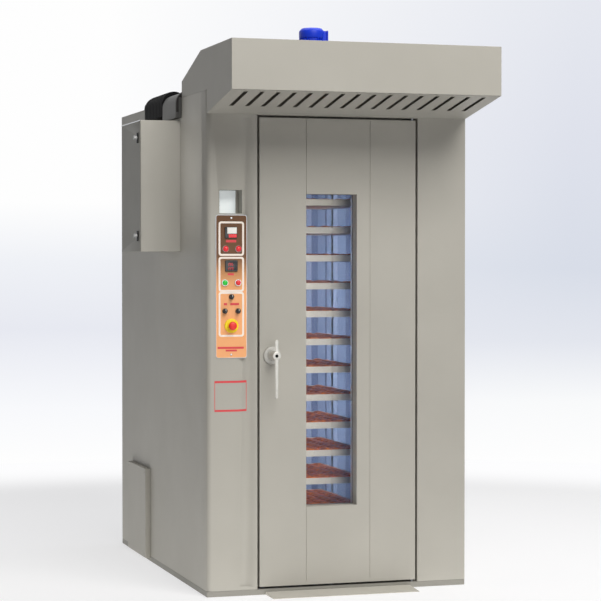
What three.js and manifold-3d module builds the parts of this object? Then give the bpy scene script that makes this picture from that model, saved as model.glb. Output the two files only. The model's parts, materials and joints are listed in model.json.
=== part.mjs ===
// Rotating rack oven for a bakery. A rack of twelve trays hangs from an overhead
// shaft and turns slowly in an insulated chamber, a fan behind the chamber drives
// air over a burner-heated exchanger, and a hood over the door catches the steam.
//
// Millimetres, +Z up, +X to the right and +Y to the back, seen from the front.
// The origin is where the axis of the turning rack meets the floor.

import * as THREE from 'three';
import { mergeVertices } from 'three/addons/utils/BufferGeometryUtils.js';
import Module from 'manifold-3d';

const wasm = await Module();
wasm.setup();

// ---------------------------------------------------------------- driving sizes

const gap = 0.3; // between two pieces that touch

// Body
const bodyWidth = 1160;
const bodyDepth = 1700;
const bodyHeight = 2129; // floor to the top of the roof sheet
const sheet = 2; // casing and liner sheet
const baseHeight = 24;
const railWidth = 50;
const memberPitch = 235; // cross-members of the base
const sillDepth = 90;

// Doorway and door
const doorwayWidth = 720;
const doorwayFromTop = 101; // top of the body down to the lintel
const doorGap = 10; // all round the leaf
const leafDepth = 60;
const sealDepth = 19; // back of the leaf to the plate that the door seals on
const flangeThickness = 4;
const flangeInset = 24; // how far that plate stands into the doorway on each side
const linerPlug = 24; // depth of the door's inner pan
const plugFoot = 16; // its lower edge above the leaf's
const leafSkin = 3; // the folded outer skin, deep enough for its seams
const seamLap = 8; // metal on each side of a seam
const barrelWall = 3;
const gasketLap = 14; // gasket over the doorway's plate
const plugClearance = 6;
const windowLeft = -143;
const windowRight = 83;
const windowBottom = 367;
const windowBelowLintel = 330; // lintel to the window's top edge
const glassThickness = 6;
const glassOverlap = 9;
const seamLeft = -144; // folded joints in the door's outer skin
const seamRight = 142;
const seamWidth = 3;
const seamDepth = 3;
const hingeInset = 12; // hinge axis from the leaf's right edge and from its face
const hingeRadius = 5;

// Handle
const handleHeight = 1014;
const handleInset = 55; // handle axis from the leaf's left edge
const bossRadius = 17;
const bossReach = 72; // how far the handle stands out of the door
const leverAbove = 69;
const leverBelow = 179;
const leverWidth = 13;
const leverThickness = 9;
const rosetteRadius = 38;
const rosetteThickness = 7;
const spindleRadius = 8;
const camLength = 30;
const camHalfWidth = 11;
const camThickness = 8;

// Left column, with the controls
const grooveFromDoorway = [82, 40, 24]; // three edges of the finger groove
const grooveDepth = 22;
const grooveEnd = 16; // plain stretch under the groove
const grooveHead = 114; // and over it
const panelShift = 4; // the controls' middle, left of the column's
const nicheWidth = 101;
const nicheHeight = 99;
const nicheBottom = 1613;
const nicheDepth = 70;

// Control plate
const plateWidth = 132;
const plateBottom = 1007;
const plateTop = 1605;
const plateThickness = 3;
const plateCorner = 10;
const plateLap = 14; // plate over the edge of the opening behind it
const controlSpread = 28.5; // a control's centre from the plate's middle
const pushHeight = 1322;
const selectorTopHeight = 1263;
const selectorHeight = 1203;
const stopHeight = 1141;
const bezelRadius = 14.8;
const bezelReach = 5;
const capRadius = 11;
const capProud = 6;
const knobRadius = 11.5;
const knobThickness = 8;
const gripReach = 20;
const gripWidth = 7;
const stopRadius = 18;
const stopThickness = 14;
const stopReach = 32;
const stopNeck = 11;
const stopCollarRadius = 30;
const stopCollarReach = 6;
const stopTravel = 6;
const stemRadius = 5;
const stemEnd = 8; // behind the body's face

// Hood
const hoodReach = 404; // in front of the body
const hoodRise = 174; // above the body
const fasciaDrop = 30; // below the body's top
const hoodFlatBack = 101; // where the hood's top starts to fall
const hoodToGear = 68.6; // hood's back to the big gear's teeth
const hoodBackRise = 71;
const springingDrop = 99; // body's top to the underside's edge at the body
const slotCount = 16;
const slotMargin = 32; // outside the row of slots, on each side
const slotWidth = 26;
const slotFromLip = 32; // hood's front edge to a slot's end
const slotBack = 135; // the other end, in front of the body

// Burner, in a notch of the roof's left edge
const notchLength = 672; // from the hood's back
const notchWidth = 140;
const notchDepth = 74;
const burnerInset = 35; // side of the body to the burner's middle
const burnerHalfWidth = 60;
const burnerLift = 12; // above the notch's floor
const burnerWall = 37; // the fan case's straight side, up to its vaulted top
const burnerFromNotch = 8; // notch's front to the burner's flange
const burnerFlangeThickness = 17;
const flangeLip = 4;
const skirtDrop = 25; // the outer side, down past the roof's edge
const fanCaseLength = 272; // grey fan case, from its flange's front to the black cover
const burnerCoverLength = 369;
const burnerCoverRise = 23; // the cover's vault over the fan case's
const tubeShift = 12; // the blast tube, off the burner's middle
const tubeLift = 49; // above the notch's floor
const tubeRadius = 37;
const tubeReach = 60; // into the firing drum

// Chamber
const sideInsulation = 130; // side of the body to the chamber
const rearCompartment = 640;
const chamberFromTop = 249; // body's top to the chamber's
const ceilingPlenum = 110; // insulation over the chamber
const floorSheet = 3;
const airSlotCount = 12;
const airSlotWidth = 150;
const airSlotHeight = 22;
const airSlotInset = 40;
const intakeRadius = 120;
const intakeFromTop = 320; // chamber's top down to the intake's middle

// Rack and trays
const levels = 12;
const trayWidth = 450;
const trayToDoorway = 320; // body's face to the tray
const trayToRear = 120; // tray to the chamber's rear liner
const trayDepth = 28;
const trayWall = 1.5;
const trayFromTop = 109; // rack's top down to the highest tray's rim
const trayLowest = 328.3; // rim of the lowest tray
const postSize = 20;
const postInset = 30; // a post's centre from the tray's end
const trayClearance = 12; // tray's edge to the post, on each side
const runnerLap = 6; // how far a runner reaches under a tray
const runnerThickness = 3;
const rackBottom = 145;
const rackFromTop = 85; // chamber's top to the rack's
const wheelRadius = 50;
const wheelWidth = 18;
const wheelLift = 12.7; // the hung rack's wheels above the chamber floor
const axleRadius = 6;
const forkThickness = 3;
const forkHalfWidth = 16;
const forkDrop = 14; // below the axle
const barHeight = 14;
const hookX = 90; // the hooks grip the rack's top bars here
const hookHalfWidth = 22;
const hookThickness = 10;
const hookDrop = 12;
const hookSlack = 2;

// Drive
const gearModule = 4;
const gearTeeth = 60;
const pinionTeeth = 20;
const gearWidth = 20;
const gearLift = 27; // roof to the gear's lower face
const addendum = 0.85; // of the module
const dedendum = 1.25;
const hubHeight = 10;
const hubRadius = 32;
const spokeHoles = 6;
const spokeHoleRadius = 22;
const motorBearing = 44.9; // degrees from +X to the motor, about the rack's axis
const shaftRadius = 15;
const shaftClearance = 8;
const outputRadius = 10;
const collarRadius = 24;
const collarHeight = 14;
const bracketPlate = 8;
const bracketTable = 6;
const cheekClearance = 8.6; // pinion to a cheek of the bracket
const cheekHalfLength = 40;
const bearingRadius = 34;
const gearboxSize = 110;
const gearboxHeight = 104;
const motorRadius = 59;
const motorHeight = 199;
const terminalReach = 69; // motor's axis to the outer face of its terminal box
const terminalWidth = 78;
const terminalHeight = 99;
const terminalDrop = 11; // below the motor's top

// Air circulation
const fanFromBack = 340;
const fanRadius = 190;
const fanBlades = 10;
const bladeHeight = 70;
const fanBelowRoof = 330;
const fanShaftRadius = 12;
const fanHubRadius = 28;
const bladeRoot = 55;
const bladeThickness = 3;
const bladeLean = 0.35;
const fanMotorRadius = 70;
const fanMotorHeight = 210;
const motorFlange = 14;
const tubeRows = 3;
const tubesPerRow = 5;
const exchangerTube = 32; // radius
const exchangerPitch = 150;
const rowPitch = 130;
const tubePlate = 12;
const exchangerBottom = 120;
const exchangerFromTop = 489; // body's top to the exchanger's
const exchangerMargin = 12;
const ductWidth = 60;
const ductHeight = 40;
const ductWall = 3;
const drumRadius = 62;
const drumWall = 4;
const drumFront = 110;
const drumShift = [18, -8]; // the drum's axis from the blast tube's
const spigotX = 300;
const spigotFromBack = 250;
const spigotRadius = 75;
const spigotHeight = 120;

// Electrical cabinet
const cabinetReach = 181;
const cabinetFront = 463;
const cabinetBack = 848;
const cabinetHeight = 575;
const cabinetDrop = 25; // notch's floor to the cabinet's top
const cabinetDoorThickness = 3.7;
const latchFromFront = 40;
const latchFromBottom = 68.5;
const latchFromTop = 76.5;
const latchRadius = 5;
const wingHalfHeight = 23;
const wingHalfWidth = 7;
const wingThickness = 7;
const barrelRadius = 10;
const barrelReach = 21;
const cleatThickness = 5;
const cleatHalfWidth = 6;

// Lower access cover
const coverReach = 25;
const coverFromBack = 248;
const coverLength = 387;
const coverBottom = 16;
const coverTop = 436;

// Ramp
const rampInset = 35; // doorway's side to the ramp's
const rampLength = 124;
const rampHeight = 12;
const rampEdge = 2.5;

// --------------------------------------------------------------- derived places

const half = bodyWidth / 2;
const jamb = doorwayWidth / 2;
const doorwayTop = bodyHeight - doorwayFromTop;
const flangeFront = leafDepth + sealDepth;
const chamberHalfWidth = half - sideInsulation;
const chamberBack = bodyDepth - rearCompartment;
const chamberTop = bodyHeight - chamberFromTop;
const trayLength = chamberBack - trayToRear - trayToDoorway;
const axisFromFront = trayToDoorway + trayLength / 2; // body's face to the rack's axis
const rackTop = chamberTop - rackFromTop;
const trayTop = rackTop - trayFromTop; // rim of the highest tray
const leafRight = jamb - doorGap;
const leafBottom = baseHeight + doorGap;
const leafTop = doorwayTop - doorGap;
const sealPlane = flangeFront - 2.7; // back of the seal when the door is shut
const doorwayClear = jamb - flangeInset; // edge of the flange's opening
const mouthTop = chamberTop - 10; // top of the flange's opening
const plug = doorwayClear - plugClearance;
const plugBottom = leafBottom + plugFoot;
const plugTop = mouthTop - plugClearance;
const plugBack = leafDepth + gap + linerPlug;
const windowTop = doorwayTop - windowBelowLintel;
const hingeX = leafRight - hingeInset;
const handleX = -leafRight + handleInset;
const casingTop = bodyHeight - sheet - gap;
const standing = baseHeight + gap; // foot of whatever stands on the base
const floorTop = standing + floorSheet;
const pitch = (trayTop - trayLowest) / (levels - 1);
const postX = trayWidth / 2 + trayClearance + postSize / 2;
const postY = trayLength / 2 - postInset;
const wheelAxis = floorTop + wheelLift + wheelRadius;
const gearBottom = bodyHeight + gearLift;
const centreDistance = gearModule * (gearTeeth + pinionTeeth) / 2;
const motorX = centreDistance * Math.cos(THREE.MathUtils.degToRad(motorBearing));
const motorY = centreDistance * Math.sin(THREE.MathUtils.degToRad(motorBearing));
const gearboxBottom = gearBottom + gearWidth + 10;
const gearTip = gearModule * (gearTeeth / 2 + addendum);
const panelCentre = -(half + jamb) / 2 - panelShift;
const hoodTop = bodyHeight + hoodRise;
const hoodBack = axisFromFront - gearTip - hoodToGear;
const fasciaBottom = bodyHeight - fasciaDrop;
const hoodBackTop = bodyHeight + hoodBackRise;
const hoodSpringing = bodyHeight - springingDrop;
const slotPitch = (bodyWidth - 2 * slotMargin) / slotCount;
const notchFront = hoodBack;
const notchBack = notchFront + notchLength;
const notchInner = notchWidth - half;
const notchFloor = bodyHeight - notchDepth;
const burnerCentre = burnerInset - half;
const burnerBottom = notchFloor + burnerLift;
const burnerFlange = notchFront + burnerFromNotch;
const burnerSplit = burnerFlange + fanCaseLength;
const burnerBack = burnerSplit + burnerCoverLength;
const tubeCentre = burnerCentre + tubeShift;
const tubeHeight = notchFloor + tubeLift;
const fanFromFront = bodyDepth - fanFromBack;
const exchangerTop = bodyHeight - exchangerFromTop;
const cabinetFace = -half - cabinetReach; // outer face of the cabinet's door
const cabinetTop = notchFloor - cabinetDrop;
const cabinetBottom = cabinetTop - cabinetHeight;

// --------------------------------------------------------------------- materials

const finish = (color, roughness, metalness) => new THREE.MeshStandardMaterial({ color, roughness, metalness });
const enamel = finish(0xaeada4, 0.35, 0.1);
const enamelShade = finish(0x9c9b93, 0.4, 0.1);
const baseEnamel = finish(0x8f8e87, 0.5, 0.1);
const stainless = finish(0xb9bcbe, 0.32, 0.9);
const chrome = finish(0xd8dadc, 0.15, 1);
const steel = finish(0x8d9094, 0.45, 0.8);
const sootedSteel = finish(0x5d5852, 0.7, 0.5);
const blueEnamel = finish(0x0a2fb5, 0.35, 0.1);
const burnerGrey = finish(0x7d7f80, 0.5, 0.3);
const black = finish(0x151515, 0.45, 0);
const wool = finish(0xc9b98a, 0.95, 0);
const silicone = finish(0x24221f, 0.8, 0);
const glass = finish(0x8fb0d8, 0.05, 0);
const copperFilm = finish(0xf2ae7c, 0.4, 0.1);
const green = finish(0x27b83a, 0.35, 0);
const red = finish(0xd8262b, 0.35, 0);

// ------------------------------------------------------------------ shape helpers

const AXIS_X = new THREE.Matrix4().makeBasis(
  new THREE.Vector3(0, 1, 0), new THREE.Vector3(0, 0, 1), new THREE.Vector3(1, 0, 0));
const AXIS_Y = new THREE.Matrix4().makeBasis(
  new THREE.Vector3(1, 0, 0), new THREE.Vector3(0, 0, 1), new THREE.Vector3(0, -1, 0));

function box(x0, x1, y0, y1, z0, z1) {
  const block = new THREE.BoxGeometry(x1 - x0, y1 - y0, z1 - z0);
  return block.translate((x0 + x1) / 2, (y0 + y1) / 2, (z0 + z1) / 2);
}

function extruded(outline, depth) {
  const shape = Array.isArray(outline)
    ? new THREE.Shape(outline.map(([u, v]) => new THREE.Vector2(u, v)))
    : outline;
  return new THREE.ExtrudeGeometry(shape, { depth, bevelEnabled: false, curveSegments: 8 });
}

// A prism whose outline is given in (x, y), and runs from z0 to z1
const prismZ = (outline, z0, z1) => extruded(outline, z1 - z0).translate(0, 0, z0);
// ... in (y, z), from x0 to x1
const prismX = (outline, x0, x1) => extruded(outline, x1 - x0).applyMatrix4(AXIS_X).translate(x0, 0, 0);
// ... in (x, z), from y0 to y1
const prismY = (outline, y0, y1) => extruded(outline, y1 - y0).applyMatrix4(AXIS_Y).translate(0, y1, 0);

function rodZ(radius, x, y, z0, z1, sides = 24) {
  const rod = new THREE.CylinderGeometry(radius, radius, z1 - z0, sides).rotateX(Math.PI / 2);
  return rod.translate(x, y, (z0 + z1) / 2);
}

function rodY(radius, x, z, y0, y1, sides = 24) {
  return new THREE.CylinderGeometry(radius, radius, y1 - y0, sides).translate(x, (y0 + y1) / 2, z);
}

function rodX(radius, y, z, x0, x1, sides = 24) {
  const rod = new THREE.CylinderGeometry(radius, radius, x1 - x0, sides).rotateZ(-Math.PI / 2);
  return rod.translate((x0 + x1) / 2, y, z);
}

function roundedRectangle(x0, x1, y0, y1, radius) {
  const shape = new THREE.Shape();
  shape.moveTo(x0 + radius, y0);
  shape.lineTo(x1 - radius, y0);
  shape.absarc(x1 - radius, y0 + radius, radius, -Math.PI / 2, 0);
  shape.lineTo(x1, y1 - radius);
  shape.absarc(x1 - radius, y1 - radius, radius, 0, Math.PI / 2);
  shape.lineTo(x0 + radius, y1);
  shape.absarc(x0 + radius, y1 - radius, radius, Math.PI / 2, Math.PI);
  shape.lineTo(x0, y0 + radius);
  shape.absarc(x0 + radius, y0 + radius, radius, Math.PI, Math.PI * 1.5);
  return shape;
}

function toSolid(geometry) {
  const bare = geometry.clone();
  bare.deleteAttribute('normal');
  bare.deleteAttribute('uv');
  const merged = mergeVertices(bare, 1e-4);
  return new wasm.Manifold(new wasm.Mesh({
    numProp: 3,
    vertProperties: new Float32Array(merged.attributes.position.array),
    triVerts: new Uint32Array(merged.index.array),
  }));
}

function toGeometry(solid) {
  const mesh = solid.getMesh();
  const geometry = new THREE.BufferGeometry();
  geometry.setAttribute('position', new THREE.BufferAttribute(mesh.vertProperties, 3));
  geometry.setIndex(new THREE.BufferAttribute(mesh.triVerts, 1));
  geometry.computeVertexNormals();
  return geometry;
}

const join = (pieces) => toGeometry(pieces.map(toSolid).reduce((whole, next) => whole.add(next)));

function cut(piece, tools) {
  return toGeometry(tools.map(toSolid).reduce((rest, tool) => rest.subtract(tool), toSolid(piece)));
}

// An open box: the outer block less its hollow
const shell = (outer, hollow) => cut(box(...outer), [box(...hollow)]);

// ------------------------------------------------------------------------ groups

const oven = new THREE.Group();
const casing = new THREE.Group(); // y is counted from the body's face
casing.position.y = -axisFromFront;
oven.add(casing);

function add(group, name, geometry, material) {
  const mesh = new THREE.Mesh(geometry, material);
  mesh.name = name;
  group.add(mesh);
  return mesh;
}

// -------------------------------------------------------------------------- base

function baseFrame() {
  const bands = [[0, sillDepth]];
  const before = Math.floor((axisFromFront - sillDepth - railWidth / 2) / memberPitch);
  const first = axisFromFront - before * memberPitch; // so that one lies under the axis
  for (let middle = first; middle + railWidth / 2 < bodyDepth - railWidth; middle += memberPitch) {
    bands.push([middle - railWidth / 2, middle + railWidth / 2]);
  }
  bands.push([bodyDepth - railWidth, bodyDepth]);
  const holes = [];
  for (let i = 1; i < bands.length; i += 1) {
    const [start, end] = [bands[i - 1][1], bands[i][0]];
    holes.push(box(railWidth - half, half - railWidth, start, end, -1, baseHeight + 1));
  }
  return cut(box(-half, half, 0, bodyDepth, 0, baseHeight), holes);
}

add(casing, 'base_frame', baseFrame(), baseEnamel);

add(casing, 'entry_ramp', prismX(
  [[-rampLength, 0], [-gap, 0], [-gap, rampHeight], [-rampLength, rampEdge]],
  rampInset - jamb, jamb - rampInset), enamelShade);

// ------------------------------------------------------------------ casing panels

const roofFront = notchFront - sheet;
const sideFront = flangeFront + flangeThickness + gap;

add(casing, 'left_side_panel', prismX([
  [sideFront, standing],
  [bodyDepth, standing],
  [bodyDepth, casingTop],
  [notchBack + sheet, casingTop],
  [notchBack + sheet, notchFloor - sheet - gap],
  [roofFront - gap, notchFloor - sheet - gap],
  [roofFront - gap, bodyHeight],
  [sideFront, bodyHeight],
], -half, -half + sheet), enamel);

add(casing, 'right_side_panel', prismX([
  [sideFront, standing],
  [bodyDepth, standing],
  [bodyDepth, casingTop],
  [roofFront - gap, casingTop],
  [roofFront - gap, bodyHeight],
  [sideFront, bodyHeight],
], half - sheet, half), enamel);

add(casing, 'rear_panel', box(
  -half + sheet + gap, half - sheet - gap, bodyDepth - sheet, bodyDepth, standing, casingTop), enamel);

function roofPanel() {
  const under = bodyHeight - sheet;
  const tray = notchFloor - sheet;
  const spigotY = bodyDepth - spigotFromBack;
  const sheets = cut(box(-half, half, roofFront, bodyDepth, under, bodyHeight), [
    box(-half - 1, notchInner, notchFront, notchBack, under - 1, bodyHeight + 1),
  ]);
  const folded = join([
    sheets,
    box(-half, notchInner + sheet, notchFront - sheet, notchBack + sheet, tray, notchFloor),
    box(notchInner, notchInner + sheet, notchFront - sheet, notchBack + sheet, tray, bodyHeight),
    box(-half, notchInner + sheet, notchFront - sheet, notchFront, tray, bodyHeight),
    box(-half, notchInner + sheet, notchBack, notchBack + sheet, tray, bodyHeight),
    rodZ(spigotRadius, spigotX, spigotY, under, bodyHeight + spigotHeight, 36),
  ]);
  return cut(folded, [
    rodY(tubeRadius + 2, tubeCentre, tubeHeight, notchFront - 3 * sheet, notchFront + sheet),
    rodZ(spigotRadius - sheet, spigotX, spigotY, under - 1, bodyHeight + spigotHeight + 1, 36),
    rodZ(shaftRadius + shaftClearance, 0, axisFromFront, under - 1, bodyHeight + 1),
    rodZ(fanShaftRadius + 6, 0, fanFromFront, under - 1, bodyHeight + 1),
  ]);
}

add(casing, 'roof_panel', roofPanel(), enamelShade);

// ---------------------------------------------------------- front column and frame

function frontColumn() {
  const [start, deep, end] = grooveFromDoorway.map((distance) => -jamb - distance);
  const grooveBottom = standing + grooveEnd;
  const grooveTop = bodyHeight - grooveHead;
  const back = flangeFront - gap;
  const facePlate = box(-half, -jamb, 0, sheet, standing, bodyHeight);
  const groove = prismZ(
    [[start, -1], [start, 0], [deep, grooveDepth], [end, 0], [end, -1]], grooveBottom, grooveTop);
  const grooveWall = prismZ([
    [start - sheet, 0], [deep, grooveDepth + sheet], [end + sheet, 0],
  ], grooveBottom - sheet, grooveTop + sheet);
  const nicheBack = nicheDepth + sheet;
  const nicheX = [panelCentre - nicheWidth / 2, panelCentre + nicheWidth / 2];
  const niche = box(
    nicheX[0] - sheet, nicheX[1] + sheet, 0, nicheBack, nicheBottom - sheet, nicheBottom + nicheHeight + sheet);
  const carcass = join([
    facePlate,
    grooveWall,
    box(-half, -half + sheet, 0, back, standing, bodyHeight),
    box(-jamb - sheet, -jamb, 0, back, standing, bodyHeight),
    box(-half, -jamb, 0, back, standing, standing + sheet),
    box(-half, -jamb, 0, back, bodyHeight - sheet, bodyHeight),
    niche,
  ]);
  return cut(carcass, [
    groove,
    box(nicheX[0], nicheX[1], -1, nicheDepth, nicheBottom, nicheBottom + nicheHeight),
    box(panelCentre - plateWidth / 2 + plateLap, panelCentre + plateWidth / 2 - plateLap,
      -1, grooveDepth + 3 * sheet, plateBottom + plateLap, plateTop - plateLap),
  ]);
}

add(casing, 'front_column', frontColumn(), enamel);

function frontFrame() {
  const back = flangeFront + flangeThickness;
  const side = half - gap;
  const flange = cut(box(-side, half, flangeFront, back, standing, bodyHeight), [
    box(-doorwayClear, doorwayClear, flangeFront - 1, back + 1, standing - 1, mouthTop),
  ]);
  return join([
    flange,
    box(jamb, half, 0, sheet, standing, bodyHeight),
    box(jamb, jamb + sheet, 0, back, standing, bodyHeight),
    box(half - sheet, half, 0, back, standing, bodyHeight),
    box(-jamb + gap, half, 0, sheet, doorwayTop, bodyHeight),
    box(-jamb + gap, jamb + sheet, 0, back, doorwayTop, doorwayTop + sheet),
    box(-jamb + gap, half, 0, back, bodyHeight - sheet, bodyHeight),
  ]);
}

add(casing, 'front_frame', frontFrame(), enamel);

// ----------------------------------------------------------------------- chamber

const linerFront = flangeFront + flangeThickness + gap;

add(casing, 'chamber_floor', box(
  -chamberHalfWidth, chamberHalfWidth, linerFront, chamberBack, standing, floorTop), stainless);

for (const [name, side] of [['liner_left', -1], ['liner_right', 1]]) {
  const inner = side * chamberHalfWidth;
  const outer = side * (chamberHalfWidth + sheet);
  add(casing, name, box(Math.min(inner, outer), Math.max(inner, outer),
    linerFront, chamberBack + sheet, floorTop + gap, chamberTop), stainless);
}

function linerRear() {
  const wall = box(-chamberHalfWidth + gap, chamberHalfWidth - gap,
    chamberBack, chamberBack + sheet, floorTop + gap, chamberTop);
  const behind = [chamberBack - 1, chamberBack + sheet + 1];
  const holes = [rodY(intakeRadius, 0, chamberTop - intakeFromTop, ...behind, 36)];
  for (let i = 0; i < airSlotCount; i += 1) {
    const level = trayLowest + (trayTop - trayLowest) * i / (airSlotCount - 1) + airSlotHeight;
    for (const side of [-1, 1]) {
      const middle = side * (chamberHalfWidth - airSlotWidth / 2 - airSlotInset);
      holes.push(box(middle - airSlotWidth / 2, middle + airSlotWidth / 2,
        ...behind, level, level + airSlotHeight));
    }
  }
  return cut(wall, holes);
}

add(casing, 'liner_rear', linerRear(), stainless);

add(casing, 'liner_top', cut(
  box(-chamberHalfWidth - sheet, chamberHalfWidth + sheet, linerFront, chamberBack + sheet,
    chamberTop + gap, chamberTop + gap + sheet),
  [rodZ(shaftRadius + shaftClearance, 0, axisFromFront, chamberTop - 1, chamberTop + 2 * sheet)]), stainless);

function insulationJacket() {
  const inner = chamberHalfWidth + sheet + gap;
  const outer = half - sheet - gap;
  const under = chamberTop + sheet + 2 * gap;
  const outline = [
    [-outer, standing], [-inner, standing], [-inner, under], [inner, under],
    [inner, standing], [outer, standing], [outer, under + ceilingPlenum], [-outer, under + ceilingPlenum],
  ];
  return cut(prismY(outline, linerFront, chamberBack + sheet), [
    rodZ(shaftRadius + shaftClearance, 0, axisFromFront, under - 1, under + ceilingPlenum + 1),
  ]);
}

add(casing, 'insulation_jacket', insulationJacket(), wool);

// -------------------------------------------------------------------------- hood

function hoodShell() {
  const foot = bodyHeight + gap;
  const outline = [
    [-hoodReach, hoodTop], [-hoodReach, fasciaBottom], [-gap, hoodSpringing], [-gap, foot],
    [hoodBack, foot], [hoodBack, hoodBackTop], [hoodFlatBack, hoodTop],
  ];
  const slope = (hoodTop - hoodBackTop) / (hoodBack - hoodFlatBack);
  const inside = [
    [-hoodReach + sheet, hoodTop - sheet], [-hoodReach + sheet, 0], [hoodBack - sheet, 0],
    [hoodBack - sheet, hoodBackTop - sheet + slope * sheet], [hoodFlatBack, hoodTop - sheet],
  ];
  return cut(prismX(outline, -half, half), [
    prismX(inside, -half + sheet, half - sheet),
    rodY(tubeRadius + 2, tubeCentre, tubeHeight, hoodBack - 3 * sheet, hoodBack + 1),
  ]);
}

add(casing, 'hood_shell', hoodShell(), enamel);

function hoodBaffle() {
  const run = hoodReach - sheet - 3 * gap;
  const rise = fasciaBottom - hoodSpringing;
  const angle = Math.atan2(rise, hoodReach);
  const width = half - sheet - gap;
  const slots = [];
  for (let i = 0; i < slotCount; i += 1) {
    const middle = (i - (slotCount - 1) / 2) * slotPitch;
    slots.push(box(middle - slotWidth / 2, middle + slotWidth / 2,
      slotFromLip - hoodReach, -slotBack, -sheet, 2 * sheet));
  }
  const plate = cut(box(-width, width, -run, -2 * gap, 0, sheet), slots);
  return plate.rotateX(-angle).translate(0, 0, hoodSpringing + 2 * gap);
}

add(casing, 'hood_baffle', hoodBaffle(), enamelShade);

// -------------------------------------------------------------------------- door

const hingeHole = rodZ(hingeRadius + gap, hingeX, hingeInset, leafBottom - 1, leafTop + 1, 16);
const spindleHole = rodY(spindleRadius + gap, handleX, handleHeight, -rosetteThickness - 1, plugBack + 1, 16);
const aroundWindow = (margin, y0, y1) => box(
  windowLeft - margin, windowRight + margin, y0, y1, windowBottom - margin, windowTop + margin);

// A sheet pan with folded edges, closed at the front, and at the back but for a
// wide opening that the liner covers
function doorLeaf() {
  const lip = 2 * plugClearance;
  const [left, right, top] = [sheet - leafRight, leafRight - sheet, leafTop - sheet];
  const seam = (x) => box(
    x - seamWidth / 2, x + seamWidth / 2, -1, seamDepth, leafBottom + plugFoot, leafTop + 1);
  const fold = (x) => box(x - seamLap, x + seamLap, 1, leafSkin + seamDepth, leafBottom + 1, leafTop - 1);
  const pan = cut(box(-leafRight, leafRight, 0, leafDepth, leafBottom, leafTop), [
    box(left, right, leafSkin, leafDepth - sheet, leafBottom + sheet, top),
    box(lip - plug, plug - lip, leafDepth - 2 * sheet, leafDepth + 1, plugBottom + lip, plugTop - lip),
  ]);
  const whole = join([
    pan,
    fold(seamLeft),
    fold(seamRight),
    aroundWindow(sheet, 0, leafDepth),
    rodZ(hingeRadius + gap + barrelWall, hingeX, hingeInset, leafBottom, leafTop, 16),
    rodY(spindleRadius + gap + barrelWall, handleX, handleHeight, 0, leafDepth, 16),
    rodY(rosetteRadius, handleX, handleHeight, -rosetteThickness, 1),
  ]);
  return cut(whole, [
    aroundWindow(0, -1, leafDepth + 1), hingeHole, spindleHole, seam(seamLeft), seam(seamRight),
  ]);
}

add(casing, 'door_leaf', doorLeaf(), enamel);

// The inner pan, open towards the leaf, with a rebate that holds the glass
function doorLiner() {
  const front = leafDepth + gap;
  const pan = cut(box(-plug, plug, front, plugBack, plugBottom, plugTop), [
    box(-plug + sheet, plug - sheet, front - 1, plugBack - sheet, plugBottom + sheet, plugTop - sheet),
  ]);
  const whole = join([
    pan,
    aroundWindow(glassOverlap + gap + sheet, front, plugBack),
    rodY(spindleRadius + gap + barrelWall, handleX, handleHeight, front, plugBack, 16),
  ]);
  return cut(whole, [
    aroundWindow(0, front - 1, plugBack + 1),
    aroundWindow(glassOverlap + gap, front - 1, front + glassThickness + gap),
    spindleHole,
  ]);
}

add(casing, 'door_liner', doorLiner(), stainless);

add(casing, 'door_glass', box(
  windowLeft - glassOverlap, windowRight + glassOverlap, leafDepth + gap, leafDepth + gap + glassThickness,
  windowBottom - glassOverlap, windowTop + glassOverlap), glass);

add(casing, 'door_gasket', cut(
  box(-leafRight + 1, leafRight - 1, leafDepth + gap, sealPlane, leafBottom + 1, mouthTop + gasketLap),
  [box(-plug - 1, plug + 1, leafDepth, sealPlane + 1, plugBottom - 1, plugTop + 1)]), silicone);

add(casing, 'hinge_rod', rodZ(hingeRadius, hingeX, hingeInset, standing, doorwayTop - gap, 16), steel);

function doorHandle() {
  const leverBack = -bossReach + leverThickness;
  return join([
    rodY(bossRadius, handleX, handleHeight, -bossReach, -rosetteThickness - gap),
    box(handleX - leverWidth / 2, handleX + leverWidth / 2, -bossReach + 1, leverBack,
      handleHeight - leverBelow, handleHeight + leverAbove),
    rodY(spindleRadius, handleX, handleHeight, -rosetteThickness - 1, plugBack + 1 + camThickness, 16),
    box(handleX - camLength, handleX + camHalfWidth, plugBack + 1, plugBack + 1 + camThickness,
      handleHeight - camHalfWidth, handleHeight + camHalfWidth),
  ]);
}

add(casing, 'door_handle', doorHandle(), chrome);

// ---------------------------------------------------------------------- controls

const plateFace = -gap - plateThickness;
const leftControl = panelCentre - controlSpread;
const rightControl = panelCentre + controlSpread;

function controlPlate() {
  const outline = roundedRectangle(
    panelCentre - plateWidth / 2, panelCentre + plateWidth / 2, plateBottom, plateTop, plateCorner);
  const raised = [
    rodY(bezelRadius, leftControl, pushHeight, plateFace - bezelReach, -gap),
    rodY(bezelRadius, rightControl, pushHeight, plateFace - bezelReach, -gap),
    rodY(stopCollarRadius, panelCentre, stopHeight, plateFace - stopCollarReach, -gap, 32),
  ];
  const holes = [
    rodY(capRadius + gap, leftControl, pushHeight, plateFace - bezelReach - 1, 1),
    rodY(capRadius + gap, rightControl, pushHeight, plateFace - bezelReach - 1, 1),
  ];
  const stems = [
    [panelCentre, selectorTopHeight], [leftControl, selectorHeight], [rightControl, selectorHeight],
    [panelCentre, stopHeight],
  ];
  for (const [x, z] of stems) {
    holes.push(rodY(stemRadius + gap, x, z, plateFace - stopCollarReach - 1, 1, 16));
  }
  return cut(join([prismY(outline, plateFace, -gap), ...raised]), holes);
}

add(casing, 'control_plate', controlPlate(), copperFilm);

for (const [name, x, material] of [['start_button', leftControl, green], ['stop_button', rightControl, red]]) {
  add(casing, name, rodY(capRadius, x, pushHeight, plateFace - bezelReach - capProud, sheet), material);
}

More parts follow.
